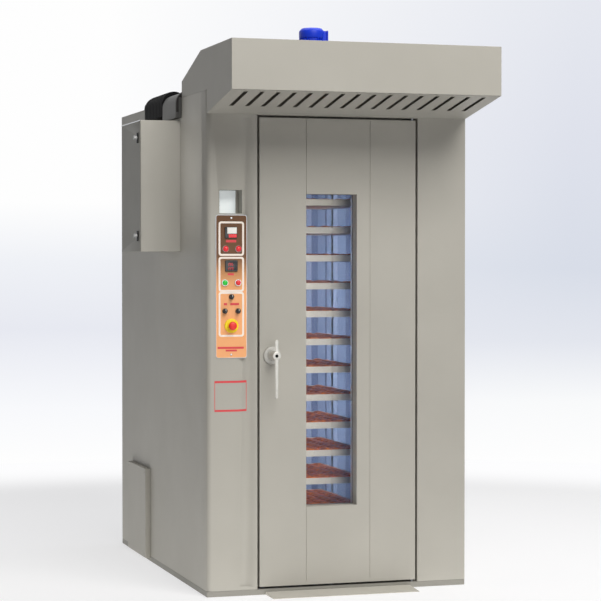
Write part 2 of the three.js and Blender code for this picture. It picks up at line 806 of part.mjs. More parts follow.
const selectors = [
  ['selector_top', panelCentre, selectorTopHeight],
  ['selector_left', leftControl, selectorHeight],
  ['selector_right', rightControl, selectorHeight],
];
for (const [name, x, z] of selectors) {
  add(casing, name, join([
    rodY(knobRadius, x, z, plateFace - knobThickness, plateFace - gap),
    box(x - gripWidth / 2, x + gripWidth / 2, plateFace - gripReach, plateFace - knobThickness + 1,
      z - knobRadius + 1, z + knobRadius - 1),
    rodY(stemRadius, x, z, plateFace - 1, stemEnd, 16),
  ]), black);
}

add(casing, 'estop_button', join([
  rodY(stopRadius, panelCentre, stopHeight, plateFace - stopReach, plateFace - stopReach + stopThickness, 32),
  rodY(stopNeck, panelCentre, stopHeight,
    plateFace - stopReach + stopThickness - 1, plateFace - stopCollarReach - stopTravel - 1),
  rodY(stemRadius, panelCentre, stopHeight, plateFace - stopCollarReach - stopTravel - 2, stemEnd, 16),
]), red);

// ------------------------------------------------------------ cabinet and cover

const cabinetSkin = cabinetFace + cabinetDoorThickness; // inner face of the cabinet's door

add(casing, 'cabinet_box', shell(
  [cabinetSkin + gap, -half - gap, cabinetFront, cabinetBack, cabinetBottom, cabinetTop],
  [cabinetSkin - 1, -half - gap - sheet, cabinetFront + sheet, cabinetBack - sheet,
    cabinetBottom + sheet, cabinetTop - sheet]), enamel);

const latchY = cabinetFront + latchFromFront;
const latches = [['lower', cabinetBottom + latchFromBottom], ['upper', cabinetTop - latchFromTop]];
add(casing, 'cabinet_door', cut(
  box(cabinetFace, cabinetSkin, cabinetFront, cabinetBack, cabinetBottom, cabinetTop),
  latches.map(([, z]) => rodX(latchRadius + gap, latchY, z, cabinetFace - 1, cabinetSkin + 1, 16))), enamel);

for (const [name, z] of latches) {
  const cleat = cabinetSkin + cleatThickness - sheet; // on the inside, turned with the wing
  add(casing, `cabinet_latch_${name}`, join([
    box(cabinetFace - wingThickness, cabinetFace - gap, latchY - wingHalfWidth, latchY + wingHalfWidth,
      z - wingHalfHeight, z + wingHalfHeight),
    rodX(barrelRadius, latchY, z, cabinetFace - barrelReach, cabinetFace - wingThickness + 1, 16),
    rodX(latchRadius, latchY, z, cabinetFace - 1, cleat + cleatThickness, 16),
    box(cleat, cleat + cleatThickness, latchY - cleatHalfWidth, latchY + cleatHalfWidth,
      z - cleatHalfWidth, z + wingHalfHeight),
  ]), black);
}

const coverStart = bodyDepth - coverFromBack - coverLength;
add(casing, 'access_cover', shell(
  [-half - coverReach, -half - gap, coverStart, coverStart + coverLength, coverBottom, coverTop],
  [-half - coverReach + sheet, -half + 1, coverStart + sheet, coverStart + coverLength - sheet,
    coverBottom + sheet, coverTop - sheet]), enamel);

// ------------------------------------------------------------------------ burner

function vault(halfWidth, spring) {
  const shape = new THREE.Shape();
  shape.moveTo(burnerCentre - halfWidth, burnerBottom);
  shape.lineTo(burnerCentre + halfWidth, burnerBottom);
  shape.lineTo(burnerCentre + halfWidth, spring);
  shape.absarc(burnerCentre, spring, halfWidth, 0, Math.PI);
  return shape;
}

function burnerBody() {
  const flangeEnd = burnerFlange + burnerFlangeThickness;
  const casingHalf = burnerHalfWidth - flangeLip;
  const footHalf = burnerHalfWidth - 5 * flangeLip;
  return join([
    rodY(tubeRadius, tubeCentre, tubeHeight, notchFront - tubeReach, burnerFlange + 1),
    prismY(vault(burnerHalfWidth, burnerBottom + burnerWall), burnerFlange, flangeEnd),
    prismY(vault(casingHalf, burnerBottom + burnerWall), flangeEnd - 1, burnerSplit),
    box(burnerCentre - burnerHalfWidth, -half - gap, burnerFlange, flangeEnd,
      burnerBottom - skirtDrop, burnerBottom + 1),
    box(burnerCentre - casingHalf, -half - gap, flangeEnd - 1, burnerSplit,
      burnerBottom - skirtDrop, burnerBottom + 1),
    box(burnerCentre - footHalf, burnerCentre + footHalf, flangeEnd + footHalf, burnerSplit - footHalf,
      notchFloor + gap, burnerBottom + 1),
  ]);
}

add(casing, 'burner_body', burnerBody(), burnerGrey);
add(casing, 'burner_cover', prismY(
  vault(burnerHalfWidth - flangeLip / 2, burnerBottom + burnerWall - flangeLip + burnerCoverRise),
  burnerSplit + gap, burnerBack), black);

// ------------------------------------------------------------- air and heat parts

const [drumX, drumZ] = [tubeCentre + drumShift[0], tubeHeight + drumShift[1]];

// The drum that the burner fires into, and the square duct that takes the hot gas
// along under the roof and down to the tubes
function firingDrum() {
  const drumBack = roofFront - 10;
  const ductTop = notchFloor - sheet - 5;
  const duct = (wall, foot) => {
    const reach = ductWidth / 2 - wall;
    return [
      box(drumX - reach, drumX + reach, drumBack - ductHeight + wall, fanFromFront + reach,
        ductTop - ductHeight + wall, ductTop - wall),
      box(drumX - reach, drumX + reach, fanFromFront - reach, fanFromFront + reach, foot, ductTop - wall),
    ];
  };
  const whole = join([rodY(drumRadius, drumX, drumZ, drumFront, drumBack, 20), ...duct(0, exchangerTop + gap)]);
  return cut(whole, [
    rodY(drumRadius - drumWall, drumX, drumZ, drumFront + drumWall, drumBack + 1, 20),
    ...duct(ductWall, exchangerTop - 1),
  ]);
}

add(casing, 'firing_drum', firingDrum(), sootedSteel);

// A bundle of open tubes between two plates; the upper one reaches out under the duct
function heatExchanger() {
  const depth = (tubeRows - 1) * rowPitch / 2 + exchangerTube + exchangerMargin;
  const width = (tubesPerRow - 1) * exchangerPitch / 2 + exchangerTube + exchangerMargin;
  const plate = (z) => box(-width, width, fanFromFront - depth, fanFromFront + depth, z, z + tubePlate);
  const pieces = [
    plate(exchangerBottom),
    plate(exchangerTop - tubePlate),
    box(drumX - ductWidth / 2, tubePlate - width, fanFromFront - ductWidth / 2, fanFromFront + ductWidth / 2,
      exchangerTop - tubePlate, exchangerTop),
  ];
  const bores = [];
  for (let row = 0; row < tubeRows; row += 1) {
    for (let column = 0; column < tubesPerRow; column += 1) {
      const x = (column - (tubesPerRow - 1) / 2) * exchangerPitch;
      const y = fanFromFront + (row - (tubeRows - 1) / 2) * rowPitch;
      pieces.push(rodZ(exchangerTube, x, y, exchangerBottom, exchangerTop, 8));
      bores.push(rodZ(exchangerTube - ductWall, x, y, exchangerBottom - 1, exchangerTop + 1, 8));
    }
  }
  return cut(join(pieces), bores);
}

add(casing, 'heat_exchanger', heatExchanger(), sootedSteel);

const fanTop = bodyHeight - fanBelowRoof;

add(casing, 'fan_motor', join([
  rodZ(fanMotorRadius, 0, fanFromFront, bodyHeight + motorFlange - 2, bodyHeight + fanMotorHeight, 28),
  cut(rodZ(fanMotorRadius + 20, 0, fanFromFront, bodyHeight + gap, bodyHeight + motorFlange, 28), [
    rodZ(fanShaftRadius + gap, 0, fanFromFront, bodyHeight, bodyHeight + 10),
  ]),
]), blueEnamel);

function fanImpeller() {
  const plate = rodZ(fanRadius, 0, 0, -2 * sheet, 0, 36);
  const blades = [];
  for (let i = 0; i < fanBlades; i += 1) {
    const blade = box(
      bladeRoot, fanRadius - 2 * sheet, -bladeThickness / 2, bladeThickness / 2, -bladeHeight, -1);
    blade.rotateZ(bladeLean).translate(bladeRoot * bladeLean, -bladeRoot * bladeLean, 0);
    blades.push(blade.rotateZ(i / fanBlades * 2 * Math.PI));
  }
  const hub = rodZ(fanHubRadius, 0, 0, -bladeHeight, fanHubRadius);
  const shaft = rodZ(fanShaftRadius - 0.5, 0, 0, fanHubRadius - 1, fanBelowRoof + 8);
  return join([plate, hub, shaft, ...blades]).translate(0, fanFromFront, fanTop);
}

add(casing, 'fan_impeller', fanImpeller(), steel);

// ------------------------------------------------------------------------- drive

// A spur gear about the origin, from z = 0 to its width. Its teeth are trapezoids,
// and turn is the angle of the middle of its first tooth.
function gear(teeth, turn) {
  const pitchRadius = gearModule * teeth / 2;
  const step = 2 * Math.PI / teeth;
  const [tip, root] = [pitchRadius + addendum * gearModule, pitchRadius - dedendum * gearModule];
  const tooth = [[-0.36, root], [-0.1, tip], [0.1, tip], [0.36, root]];
  const outline = [];
  for (let i = 0; i < teeth; i += 1) {
    for (const [offset, radius] of tooth) {
      const angle = turn + (i + offset) * step;
      outline.push([radius * Math.cos(angle), radius * Math.sin(angle)]);
    }
  }
  return prismZ(outline, 0, gearWidth);
}

const towardsMotor = THREE.MathUtils.degToRad(motorBearing);

function mainGear() {
  const bore = rodZ(shaftRadius + gap, 0, 0, -1, gearWidth + hubHeight + 1);
  const ring = (hubRadius + gearModule * gearTeeth / 2) / 2;
  const lightening = [];
  for (let i = 0; i < spokeHoles; i += 1) {
    const hole = rodZ(spokeHoleRadius, ring, 0, -1, gearWidth + 1, 12);
    lightening.push(hole.rotateZ(i / spokeHoles * 2 * Math.PI));
  }
  const hub = rodZ(hubRadius, 0, 0, gearWidth - 1, gearWidth + hubHeight);
  const blank = join([gear(gearTeeth, towardsMotor), hub]);
  return cut(blank, [bore, ...lightening]).translate(0, 0, gearBottom);
}

add(oven, 'main_gear', mainGear(), steel);

add(oven, 'pinion', join([
  gear(pinionTeeth, towardsMotor + Math.PI + Math.PI / pinionTeeth),
  rodZ(outputRadius, 0, 0, -6, gearWidth + 26),
]).translate(motorX, motorY, gearBottom), steel);

function driveBracket() {
  const foot = bodyHeight + gap;
  const reach = gearModule * (pinionTeeth / 2 + addendum) + cheekClearance;
  const table = gearboxBottom - gap - bracketTable;
  const [right, back] = [motorX + reach, motorY + reach];
  const [rightEnd, backEnd, tableTop] = [right + bracketPlate, back + bracketPlate, table + bracketTable];
  const pieces = [
    box(-2 * bearingRadius, rightEnd + 4, -2 * bearingRadius, backEnd + 4, foot, foot + bracketPlate),
    rodZ(bearingRadius, 0, 0, foot, gearBottom - 6),
    box(right, rightEnd, motorY - cheekHalfLength, backEnd, foot, tableTop),
    box(motorX - cheekHalfLength, rightEnd, back, backEnd, foot, tableTop),
    box(motorX - gearboxSize / 2, rightEnd, motorY - gearboxSize / 2, backEnd, table, tableTop),
  ];
  return cut(join(pieces), [
    rodZ(shaftRadius + gap, 0, 0, foot - 1, gearBottom),
    rodZ(outputRadius + 2, motorX, motorY, table - 1, tableTop + 1),
  ]);
}

add(oven, 'drive_bracket', driveBracket(), steel);

// A gearbox that the pinion's shaft goes up into, with its motor upright on it
function gearedMotor() {
  const boxHalf = gearboxSize / 2;
  const motorBottom = gearboxBottom + gearboxHeight;
  const motorTop = motorBottom + motorHeight;
  return cut(join([
    box(motorX - boxHalf, motorX + boxHalf, motorY - boxHalf, motorY + boxHalf, gearboxBottom, motorBottom),
    rodZ(motorRadius, motorX, motorY, motorBottom - 1, motorTop, 32),
    box(motorX, motorX + terminalReach, motorY - terminalWidth / 2, motorY + terminalWidth / 2,
      motorTop - terminalDrop - terminalHeight, motorTop - terminalDrop),
  ]), [
    rodZ(outputRadius + gap, motorX, motorY, gearboxBottom - 1, gearboxBottom + 20),
  ]);
}

add(oven, 'geared_motor', gearedMotor(), blueEnamel);

// -------------------------------------------------------------------------- rack

const carrierBottom = rackTop + barHeight + hookSlack;

function rackShaft() {
  const hubTop = gearBottom + gearWidth + hubHeight;
  const toeBottom = rackTop - postSize - hookDrop;
  const outer = hookX + hookSlack + hookThickness;
  const pieces = [
    rodZ(shaftRadius, 0, 0, carrierBottom + 1, hubTop + collarHeight),
    rodZ(collarRadius, 0, 0, hubTop + gap, hubTop + collarHeight),
    box(-outer, outer, -hookHalfWidth, hookHalfWidth, carrierBottom, carrierBottom + barHeight),
  ];
  for (const turn of [0, Math.PI]) {
    pieces.push(join([
      box(outer - hookThickness, outer, -hookHalfWidth, hookHalfWidth, toeBottom, carrierBottom + 1),
      box(hookX - postSize - hookSlack, outer, -hookHalfWidth, hookHalfWidth,
        toeBottom, rackTop - postSize - gap),
    ]).rotateZ(turn));
  }
  return join(pieces);
}

add(oven, 'rack_shaft', rackShaft(), steel);

function rackFrame() {
  const inner = trayWidth / 2 - runnerLap;
  const outer = postX + postSize / 2;
  const end = postY + postSize / 2;
  const pieces = [];
  for (const side of [-1, 1]) {
    const lane = (from, to) => [Math.min(side * from, side * to), Math.max(side * from, side * to)];
    for (const y of [-postY, postY]) {
      const post = [y - postSize / 2, y + postSize / 2];
      pieces.push(box(...lane(outer - postSize, outer), ...post, rackBottom, rackTop));
      const fork = [outer - postSize - 1 - forkThickness, outer + 1 + forkThickness];
      const depth = [y - forkHalfWidth, y + forkHalfWidth];
      for (const from of [fork[0], fork[1] - forkThickness]) {
        pieces.push(box(...lane(from, from + forkThickness), ...depth,
          wheelAxis - forkDrop, rackBottom + postSize));
      }
      pieces.push(box(...lane(...fork), ...depth, rackBottom, rackBottom + 2 * forkThickness));
    }
    pieces.push(box(...lane(outer - postSize, outer), -end, end, rackBottom, rackBottom + postSize));
    pieces.push(box(...lane(outer - postSize, outer), -end, end, rackTop - postSize, rackTop));
    pieces.push(box(...lane(hookX - postSize, hookX), -end, end, rackTop - postSize, rackTop));
    for (let i = 0; i < levels; i += 1) {
      const under = trayLowest + i * pitch - trayDepth - gap;
      pieces.push(box(...lane(inner, outer - postSize + 1), -end, end, under - runnerThickness, under));
    }
  }
  for (const y of [-postY, postY]) {
    pieces.push(box(-outer, outer, y - postSize / 2, y + postSize / 2, rackBottom, rackBottom + postSize));
    pieces.push(box(-outer, outer, y - postSize / 2, y + postSize / 2, rackTop - postSize, rackTop));
  }
  const bores = [-postY, postY].map((y) => rodX(axleRadius + gap, y, wheelAxis, -outer - 10, outer + 10, 16));
  return cut(join(pieces), bores);
}

add(oven, 'rack_frame', rackFrame(), stainless);

for (const [name, y] of [['front_wheelset', -postY], ['rear_wheelset', postY]]) {
  const reach = postX + postSize / 2 + 2 * forkThickness;
  const wheel = (x) => rodX(wheelRadius, y, wheelAxis, x - wheelWidth / 2, x + wheelWidth / 2, 28);
  const axle = rodX(axleRadius, y, wheelAxis, -reach, reach, 16);
  add(oven, name, join([axle, wheel(-postX), wheel(postX)]), black);
}

for (let i = 0; i < levels; i += 1) {
  const rim = trayLowest + i * pitch;
  const [x, y] = [trayWidth / 2, trayLength / 2];
  const [innerX, innerY] = [x - trayWall, y - trayWall];
  add(oven, `tray_${String(i + 1).padStart(2, '0')}`, shell(
    [-x, x, -y, y, rim - trayDepth, rim],
    [-innerX, innerX, -innerY, innerY, rim - trayDepth + trayWall, rim + 1]), stainless);
}

export default oven;
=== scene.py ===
"""A rotating rack oven for a bakery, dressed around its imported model.

Metres, +Z up, +X to the right and +Y to the back as seen from the front. The
origin is where the axis of the turning rack meets the floor, so the oven's front
face lies at y = FRONT. Sizes on the drawing are in millimetres and go through mm()
or point().
"""

import json
import math

import bmesh
import bpy
from mathutils import Matrix, Vector
from mathutils.geometry import tessellate_polygon

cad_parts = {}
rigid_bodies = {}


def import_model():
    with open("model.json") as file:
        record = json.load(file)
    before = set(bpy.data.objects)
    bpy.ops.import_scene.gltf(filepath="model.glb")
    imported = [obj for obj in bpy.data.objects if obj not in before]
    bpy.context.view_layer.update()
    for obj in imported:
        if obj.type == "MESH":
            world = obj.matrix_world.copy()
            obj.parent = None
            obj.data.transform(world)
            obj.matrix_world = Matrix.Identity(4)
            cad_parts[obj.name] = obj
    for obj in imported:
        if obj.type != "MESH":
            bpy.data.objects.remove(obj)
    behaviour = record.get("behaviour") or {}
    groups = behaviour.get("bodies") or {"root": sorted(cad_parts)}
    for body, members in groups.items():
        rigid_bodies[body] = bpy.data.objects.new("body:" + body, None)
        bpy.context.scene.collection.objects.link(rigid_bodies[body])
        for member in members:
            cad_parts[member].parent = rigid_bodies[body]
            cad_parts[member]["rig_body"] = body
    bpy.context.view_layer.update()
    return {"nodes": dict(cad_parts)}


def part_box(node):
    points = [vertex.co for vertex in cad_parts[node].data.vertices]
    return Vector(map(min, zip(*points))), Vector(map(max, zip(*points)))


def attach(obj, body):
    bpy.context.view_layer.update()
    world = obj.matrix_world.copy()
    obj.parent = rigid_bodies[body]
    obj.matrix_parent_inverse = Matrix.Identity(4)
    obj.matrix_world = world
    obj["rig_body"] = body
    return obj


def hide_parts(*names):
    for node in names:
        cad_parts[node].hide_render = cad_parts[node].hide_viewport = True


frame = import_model()
nodes = frame["nodes"]
scene = bpy.context.scene


def mm(value):
    """Millimetres in metres."""
    return value / 1000


# ------------------------------------------------------------------ the drawing
FRONT = -0.63  # the oven's front face
HALF_WIDTH = 0.58  # of the body
LEVELS = 12  # trays in the rack

# ---------------------------------------------------------------------- camera
CAMERA_PLACE = (-2.6626, -8.7344, 1.4143)
CAMERA_YAW = 17.10  # degrees from +Y towards +X
CAMERA_PITCH = -1.141
FOCAL_PIXELS = 1997.3  # of a frame 601 pixels wide
FRAME_PIXELS = 601
SENSOR = 36  # millimetres wide

lens = bpy.data.cameras.new("studio_lens")
lens.sensor_width = SENSOR
lens.lens = FOCAL_PIXELS / FRAME_PIXELS * SENSOR
lens.clip_start = 0.1
lens.clip_end = 100
camera = bpy.data.objects.new("studio_camera", lens)
camera.location = CAMERA_PLACE
camera.rotation_euler = (math.radians(90 + CAMERA_PITCH), 0, math.radians(-CAMERA_YAW))
scene.collection.objects.link(camera)
scene.camera = camera


# -------------------------------------------------------------- material tools
def linear(code):
    """An sRGB hex colour as linear RGBA."""
    channels = [int(code[i : i + 2], 16) / 255 for i in (1, 3, 5)]
    return (*[c / 12.92 if c <= 0.04045 else ((c + 0.055) / 1.055) ** 2.4 for c in channels], 1.0)


def add_node(tree, kind, inputs=None, **settings):
    """Adds a node, sets it up, and gives its inputs a value or a link."""
    node = tree.nodes.new(kind)
    for name, value in settings.items():
        setattr(node, name, value)
    for name, value in (inputs or {}).items():
        if isinstance(value, bpy.types.NodeSocket):
            tree.links.new(value, node.inputs[name])
        else:
            node.inputs[name].default_value = value
    return node


def start_material(name):
    """An empty material, its node tree and the object's own coordinates in metres."""
    material = bpy.data.materials.new(name)
    material.use_nodes = True
    tree = material.node_tree
    tree.nodes.clear()
    place = add_node(tree, "ShaderNodeTexCoord").outputs["Object"]
    return material, tree, place


def finish_material(material, settings, relief=None):
    """Ends a material in its shader and output. The relief is a pattern's node, the
    strength of its bumps and their height."""
    tree = material.node_tree
    if relief:
        pattern, strength, height = relief
        bump = add_node(tree, "ShaderNodeBump", {
            "Height": pattern.outputs["Fac"], "Strength": strength, "Distance": height,
        })
        settings = {**settings, "Normal": bump.outputs["Normal"]}
    shader = add_node(tree, "ShaderNodeBsdfPrincipled", settings)
    add_node(tree, "ShaderNodeOutputMaterial", {"Surface": shader.outputs["BSDF"]})
    return material


def set_ramp(node, stops):
    """Colour stops as (position, hex colour)."""
    elements = node.color_ramp.elements
    while len(elements) > 1:
        elements.remove(elements[-1])
    elements[0].position, elements[0].color = stops[0][0], linear(stops[0][1])
    for position, code in stops[1:]:
        elements.new(position).color = linear(code)


# ------------------------------------------------------------------- materials
def powder_coat(name, shade, light, roughness=0.5, peel=0.05, gloss=0.3):
    """Powder-coated sheet steel: even colour with a faint cloudiness, an orange-peel
    surface and a soft sheen. The clouds are half a metre wide. Real peel is about 1 mm
    from crest to crest; it is drawn at 5 mm so that it shows."""
    material, tree, place = start_material(name)
    cloud = add_node(tree, "ShaderNodeTexNoise", {
        "Vector": place, "Scale": 1 / mm(455), "Detail": 3.0,
    })
    tone = add_node(tree, "ShaderNodeValToRGB", {"Fac": cloud.outputs["Fac"]})
    set_ramp(tone, [(0.3, shade), (0.7, light)])
    crests = add_node(tree, "ShaderNodeTexNoise", {
        "Vector": place, "Scale": 1 / mm(5), "Detail": 1.5,
    })
    smear = add_node(tree, "ShaderNodeTexNoise", {
        "Vector": place, "Scale": 1 / mm(143), "Detail": 4.0,
    })
    rough = add_node(tree, "ShaderNodeMapRange", {
        "Value": smear.outputs["Fac"], "To Min": roughness - 0.05, "To Max": roughness + 0.05,
    })
    return finish_material(material, {
        "Base Color": tone.outputs["Color"], "Roughness": rough.outputs["Result"], "IOR": 1.5,
        "Specular IOR Level": gloss,
    }, (crests, peel, mm(0.5)))


def brushed_metal(name, shade, light, roughness, grain, metallic=1.0):
    """Rolled or brushed metal. Its grain is a noise pulled out along one axis, so
    highlights break into fine lines, or an even cloud on a polished or cast one. Real
    grit lines are 0.1 mm apart and are drawn at 2 mm or more."""
    material, tree, place = start_material(name)
    stretched = add_node(tree, "ShaderNodeMapping", {
        "Vector": place, "Scale": [1 / mm(size) for size in grain],
    })
    lines = add_node(tree, "ShaderNodeTexNoise", {
        "Vector": stretched.outputs["Vector"], "Scale": 1.0, "Detail": 4.0,
    })
    tone = add_node(tree, "ShaderNodeValToRGB", {"Fac": lines.outputs["Fac"]})
    set_ramp(tone, [(0.25, shade), (0.75, light)])
    rough = add_node(tree, "ShaderNodeMapRange", {
        "Value": lines.outputs["Fac"], "To Min": roughness - 0.08, "To Max": roughness + 0.08,
    })
    return finish_material(material, {
        "Base Color": tone.outputs["Color"], "Metallic": metallic,
        "Roughness": rough.outputs["Result"],
    }, (lines, 0.06, mm(0.2)))


def grained_plastic(name, shade, light, roughness, grain=0.8, strength=0.12, gloss=0.5):
    """Moulded plastic with the fine spark-eroded grain of its mould, which takes the
    edge off a highlight. Real grain is about 0.1 mm; it is drawn at 0.8 mm or more."""
    material, tree, place = start_material(name)
    specks = add_node(tree, "ShaderNodeTexNoise", {
        "Vector": place, "Scale": 1 / mm(grain), "Detail": 2.0,
    })
    tone = add_node(tree, "ShaderNodeValToRGB", {"Fac": specks.outputs["Fac"]})
    set_ramp(tone, [(0.3, shade), (0.7, light)])
    return finish_material(material, {
        "Base Color": tone.outputs["Color"], "Roughness": roughness, "IOR": 1.5,
        "Specular IOR Level": gloss,
    }, (specks, strength, mm(0.15)))


FILM_FOOT, FILM_TOP = 1.28, 1.61  # heights between which the film's print changes


def control_film():
    """Printed polycarbonate film: chestnut at the top, fading to copper down the plate,
    with a satin front. The print's paper-fine grain is drawn at about 1 mm."""
    material, tree, place = start_material("printed_control_film")
    parts = add_node(tree, "ShaderNodeSeparateXYZ", {"Vector": place})
    height = add_node(tree, "ShaderNodeMapRange", {
        "Value": parts.outputs["Z"], "From Min": FILM_FOOT, "From Max": FILM_TOP,
    })
    tone = add_node(tree, "ShaderNodeValToRGB", {"Fac": height.outputs["Result"]})
    set_ramp(tone, [
        (0.0, "#fbb47c"), (0.15, "#e2a370"), (0.27, "#c48c5c"), (0.38, "#966c48"),
        (0.47, "#6c4a30"), (1.0, "#624022"),
    ])
    grain = add_node(tree, "ShaderNodeTexNoise", {
        "Vector": place, "Scale": 1 / mm(1.11), "Detail": 2.0,
    })
    return finish_material(material, {
        "Base Color": tone.outputs["Color"], "Roughness": 0.38, "IOR": 1.58,
        "Specular IOR Level": 0.25,
    }, (grain, 0.05, mm(0.1)))


def window_glass():
    """Tempered soda-lime glass: clear from the front, with a faint blue cast, and
    mirror-like at a low angle. Tempering leaves it wavy over a hand's width."""
    material, tree, place = start_material("tempered_window_glass")
    waves = add_node(tree, "ShaderNodeTexNoise", {
        "Vector": place, "Scale": 1 / mm(167), "Detail": 1.0,
    })
    return finish_material(material, {
        "Base Color": linear("#8fa6d2"), "Roughness": 0.04, "IOR": 1.52, "Specular IOR Level": 0.4,
        "Alpha": 0.06,
    }, (waves, 0.03, mm(0.5)))


def baked_crust():
    """Egg-washed crust: dark and shiny, with orange patches of 18 mm where it baked less,
    and crumbs of 4 mm that roughen it."""
    material, tree, place = start_material("egg_washed_crust")
    patches = add_node(tree, "ShaderNodeTexNoise", {
        "Vector": place, "Scale": 1 / mm(18.18), "Detail": 5.0,
    })
    tone = add_node(tree, "ShaderNodeValToRGB", {"Fac": patches.outputs["Fac"]})
    set_ramp(tone, [(0.3, "#7c3c0e"), (0.5, "#b45e12"), (0.66, "#e07e1a"), (0.8, "#fac080")])
    crumbs = add_node(tree, "ShaderNodeTexNoise", {
        "Vector": place, "Scale": 1 / mm(4.167), "Detail": 3.0,
    })
    return finish_material(material, {
        "Base Color": tone.outputs["Color"], "Roughness": 0.36, "IOR": 1.45,
        "Specular IOR Level": 0.25,
    }, (crumbs, 0.35, mm(1)))


def baking_sheet_glaze():
    """Caramelised sugar and fat that has run out between the rolls, bright orange."""
    material, tree, place = start_material("caramelised_glaze")
    runs = add_node(tree, "ShaderNodeTexNoise", {
        "Vector": place, "Scale": 1 / mm(14.29), "Detail": 4.0,
    })
    tone = add_node(tree, "ShaderNodeValToRGB", {"Fac": runs.outputs["Fac"]})
    set_ramp(tone, [(0.3, "#d4561c"), (0.55, "#ff7a30"), (0.75, "#ff9c58")])
    return finish_material(material, {
        "Base Color": tone.outputs["Color"], "Roughness": 0.45, "IOR": 1.45,
        "Specular IOR Level": 0.15,
    })


def lit_plastic(name, code, glow, roughness=0.25):
    """Moulded translucent acrylic over a weak lamp: an even colour that glows a little
    under a gloss. Its faint flow marks are about 3 mm wide."""
    material, tree, place = start_material(name)
    haze = add_node(tree, "ShaderNodeTexNoise", {
        "Vector": place, "Scale": 1 / mm(3.333), "Detail": 1.0,
    })
    return finish_material(material, {
        "Base Color": linear(code), "Roughness": roughness, "IOR": 1.49,
        "Emission Color": linear(code), "Emission Strength": glow,
    }, (haze, 0.04, mm(0.1)))


def display_diffuser():
    """An opal acrylic display front over its light cells, which show as a faint grid
    of 16 mm squares."""
    material, tree, place = start_material("opal_display")
    upright = add_node(tree, "ShaderNodeMapping", {
        "Vector": place, "Rotation": (math.radians(-90), 0, 0),
    })
    cells = add_node(tree, "ShaderNodeTexBrick", {
        "Vector": upright.outputs["Vector"], "Color1": linear("#eef6f8"),
        "Color2": linear("#f6fbfc"), "Mortar": linear("#d2dce0"), "Scale": 1.0,
        "Mortar Size": mm(1.2), "Mortar Smooth": 0.6, "Brick Width": mm(16), "Row Height": mm(16),
    }, offset=0.0)
    return finish_material(material, {
        "Base Color": cells.outputs["Color"], "Roughness": 0.3, "IOR": 1.49,
        "Emission Color": linear("#eef6f8"), "Emission Strength": 0.25,
    })


def mineral_wool():
    """Pressed mineral wool: straw-coloured tufts of 17 mm, matted into flat layers."""
    material, tree, place = start_material("mineral_wool")
    flattened = add_node(tree, "ShaderNodeMapping", {
        "Vector": place, "Scale": [1 / mm(size) for size in (16.67, 16.67, 2.381)],
    })
    fibres = add_node(tree, "ShaderNodeTexNoise", {
        "Vector": flattened.outputs["Vector"], "Scale": 1.0, "Detail": 6.0,
    })
    tone = add_node(tree, "ShaderNodeValToRGB", {"Fac": fibres.outputs["Fac"]})
    set_ramp(tone, [(0.3, "#9c8a5a"), (0.7, "#d8cba0")])
    return finish_material(material, {
        "Base Color": tone.outputs["Color"], "Roughness": 0.95,
    }, (fibres, 0.7, mm(2)))


def heat_tinted_steel():
    """Steel that has been red hot: brown and straw tints with soft blue patches."""
    material, tree, place = start_material("heat_tinted_steel")
    tints = add_node(tree, "ShaderNodeTexNoise", {
        "Vector": place, "Scale": 1 / mm(200), "Detail": 6.0,
    })
    tone = add_node(tree, "ShaderNodeValToRGB", {"Fac": tints.outputs["Fac"]})
    set_ramp(tone, [(0.3, "#3f3a36"), (0.48, "#6a5a48"), (0.6, "#5a5d6c"), (0.75, "#7a6a55")])
    return finish_material(material, {
        "Base Color": tone.outputs["Color"], "Metallic": 0.85, "Roughness": 0.55,
    })


# The size of a metal's grain along x, y and z in millimetres. It is smallest across the
# lines.
ROLLED, TRAY_GRAIN, TURNED = (25, 25, 2), (2.5, 16.67, 16.67), (3.333, 3.333, 16.67)
POLISHED, DIE_CAST = (11.11, 11.11, 11.11), (5, 5, 5)

ENAMEL = powder_coat("light_grey_powder_coat", "#b1aea6", "#b8b5ad")
UNDERSIDE = powder_coat("grey_powder_coat", "#aeaba3", "#b5b3ab")
RAMP_COAT = powder_coat("ramp_powder_coat", "#cbc8c0", "#d3d0c8")
# The base frame's darker coat; on the cabinet door, the side away from the light, it is painted
# shade on the enamel
BASE_AND_PAINTED_SHADE_COAT = powder_coat("base_powder_coat", "#908e87", "#9a9891", 0.55)
STAINLESS = brushed_metal("brushed_stainless", "#b4b8bc", "#ced1d3", 0.34, ROLLED)
# Three copies of one heat-blued steel, in painted light, painted half shade and painted deep
# shade, for the light and dark strips of the air guides; the rack frame takes the half shade copy
BLUED_PAINTED_LIGHT, BLUED_PAINTED_HALF_SHADE, BLUED_PAINTED_DEEP_SHADE = (
    brushed_metal(f"{painted_level}_heat_blued_stainless", shade, light, 0.5, ROLLED, 0.5)
    for painted_level, shade, light in (
        ("pale", "#93a5ca", "#a2b3d6"),
        ("mid", "#7d90b4", "#8a9dc2"),
        ("deep", "#64749a", "#7081a6"),
    )
)
TRAY_STEEL = brushed_metal("aluminised_tray_steel", "#c6c1b6", "#d8d3c8", 0.5, TRAY_GRAIN, 0.4)
CHROME = brushed_metal("polished_chrome", "#b9b9b8", "#d2d2d0", 0.2, POLISHED)
SATIN_CHROME = brushed_metal("satin_chrome", "#c4c2bc", "#d6d4ce", 0.4, POLISHED, 0.4)
ROSETTE_METAL = brushed_metal("satin_rosette", "#acaaa4", "#bebcb6", 0.42, POLISHED, 0.4)
DIE_CAST_ZINC = brushed_metal("die_cast_zinc", "#9a9b9a", "#b2b3b2", 0.5, DIE_CAST, 0.6)
BOLT_STEEL = brushed_metal("machined_steel", "#85888c", "#a5a8ab", 0.4, TURNED)
BLUE_ENAMEL = powder_coat("blue_motor_enamel", "#0230c8", "#063adc", 0.4, 0.12, 0.35)
BURNER_GREY = powder_coat("burner_grey_enamel", "#5c5c5a", "#686866", 0.55, 0.12, 0.2)
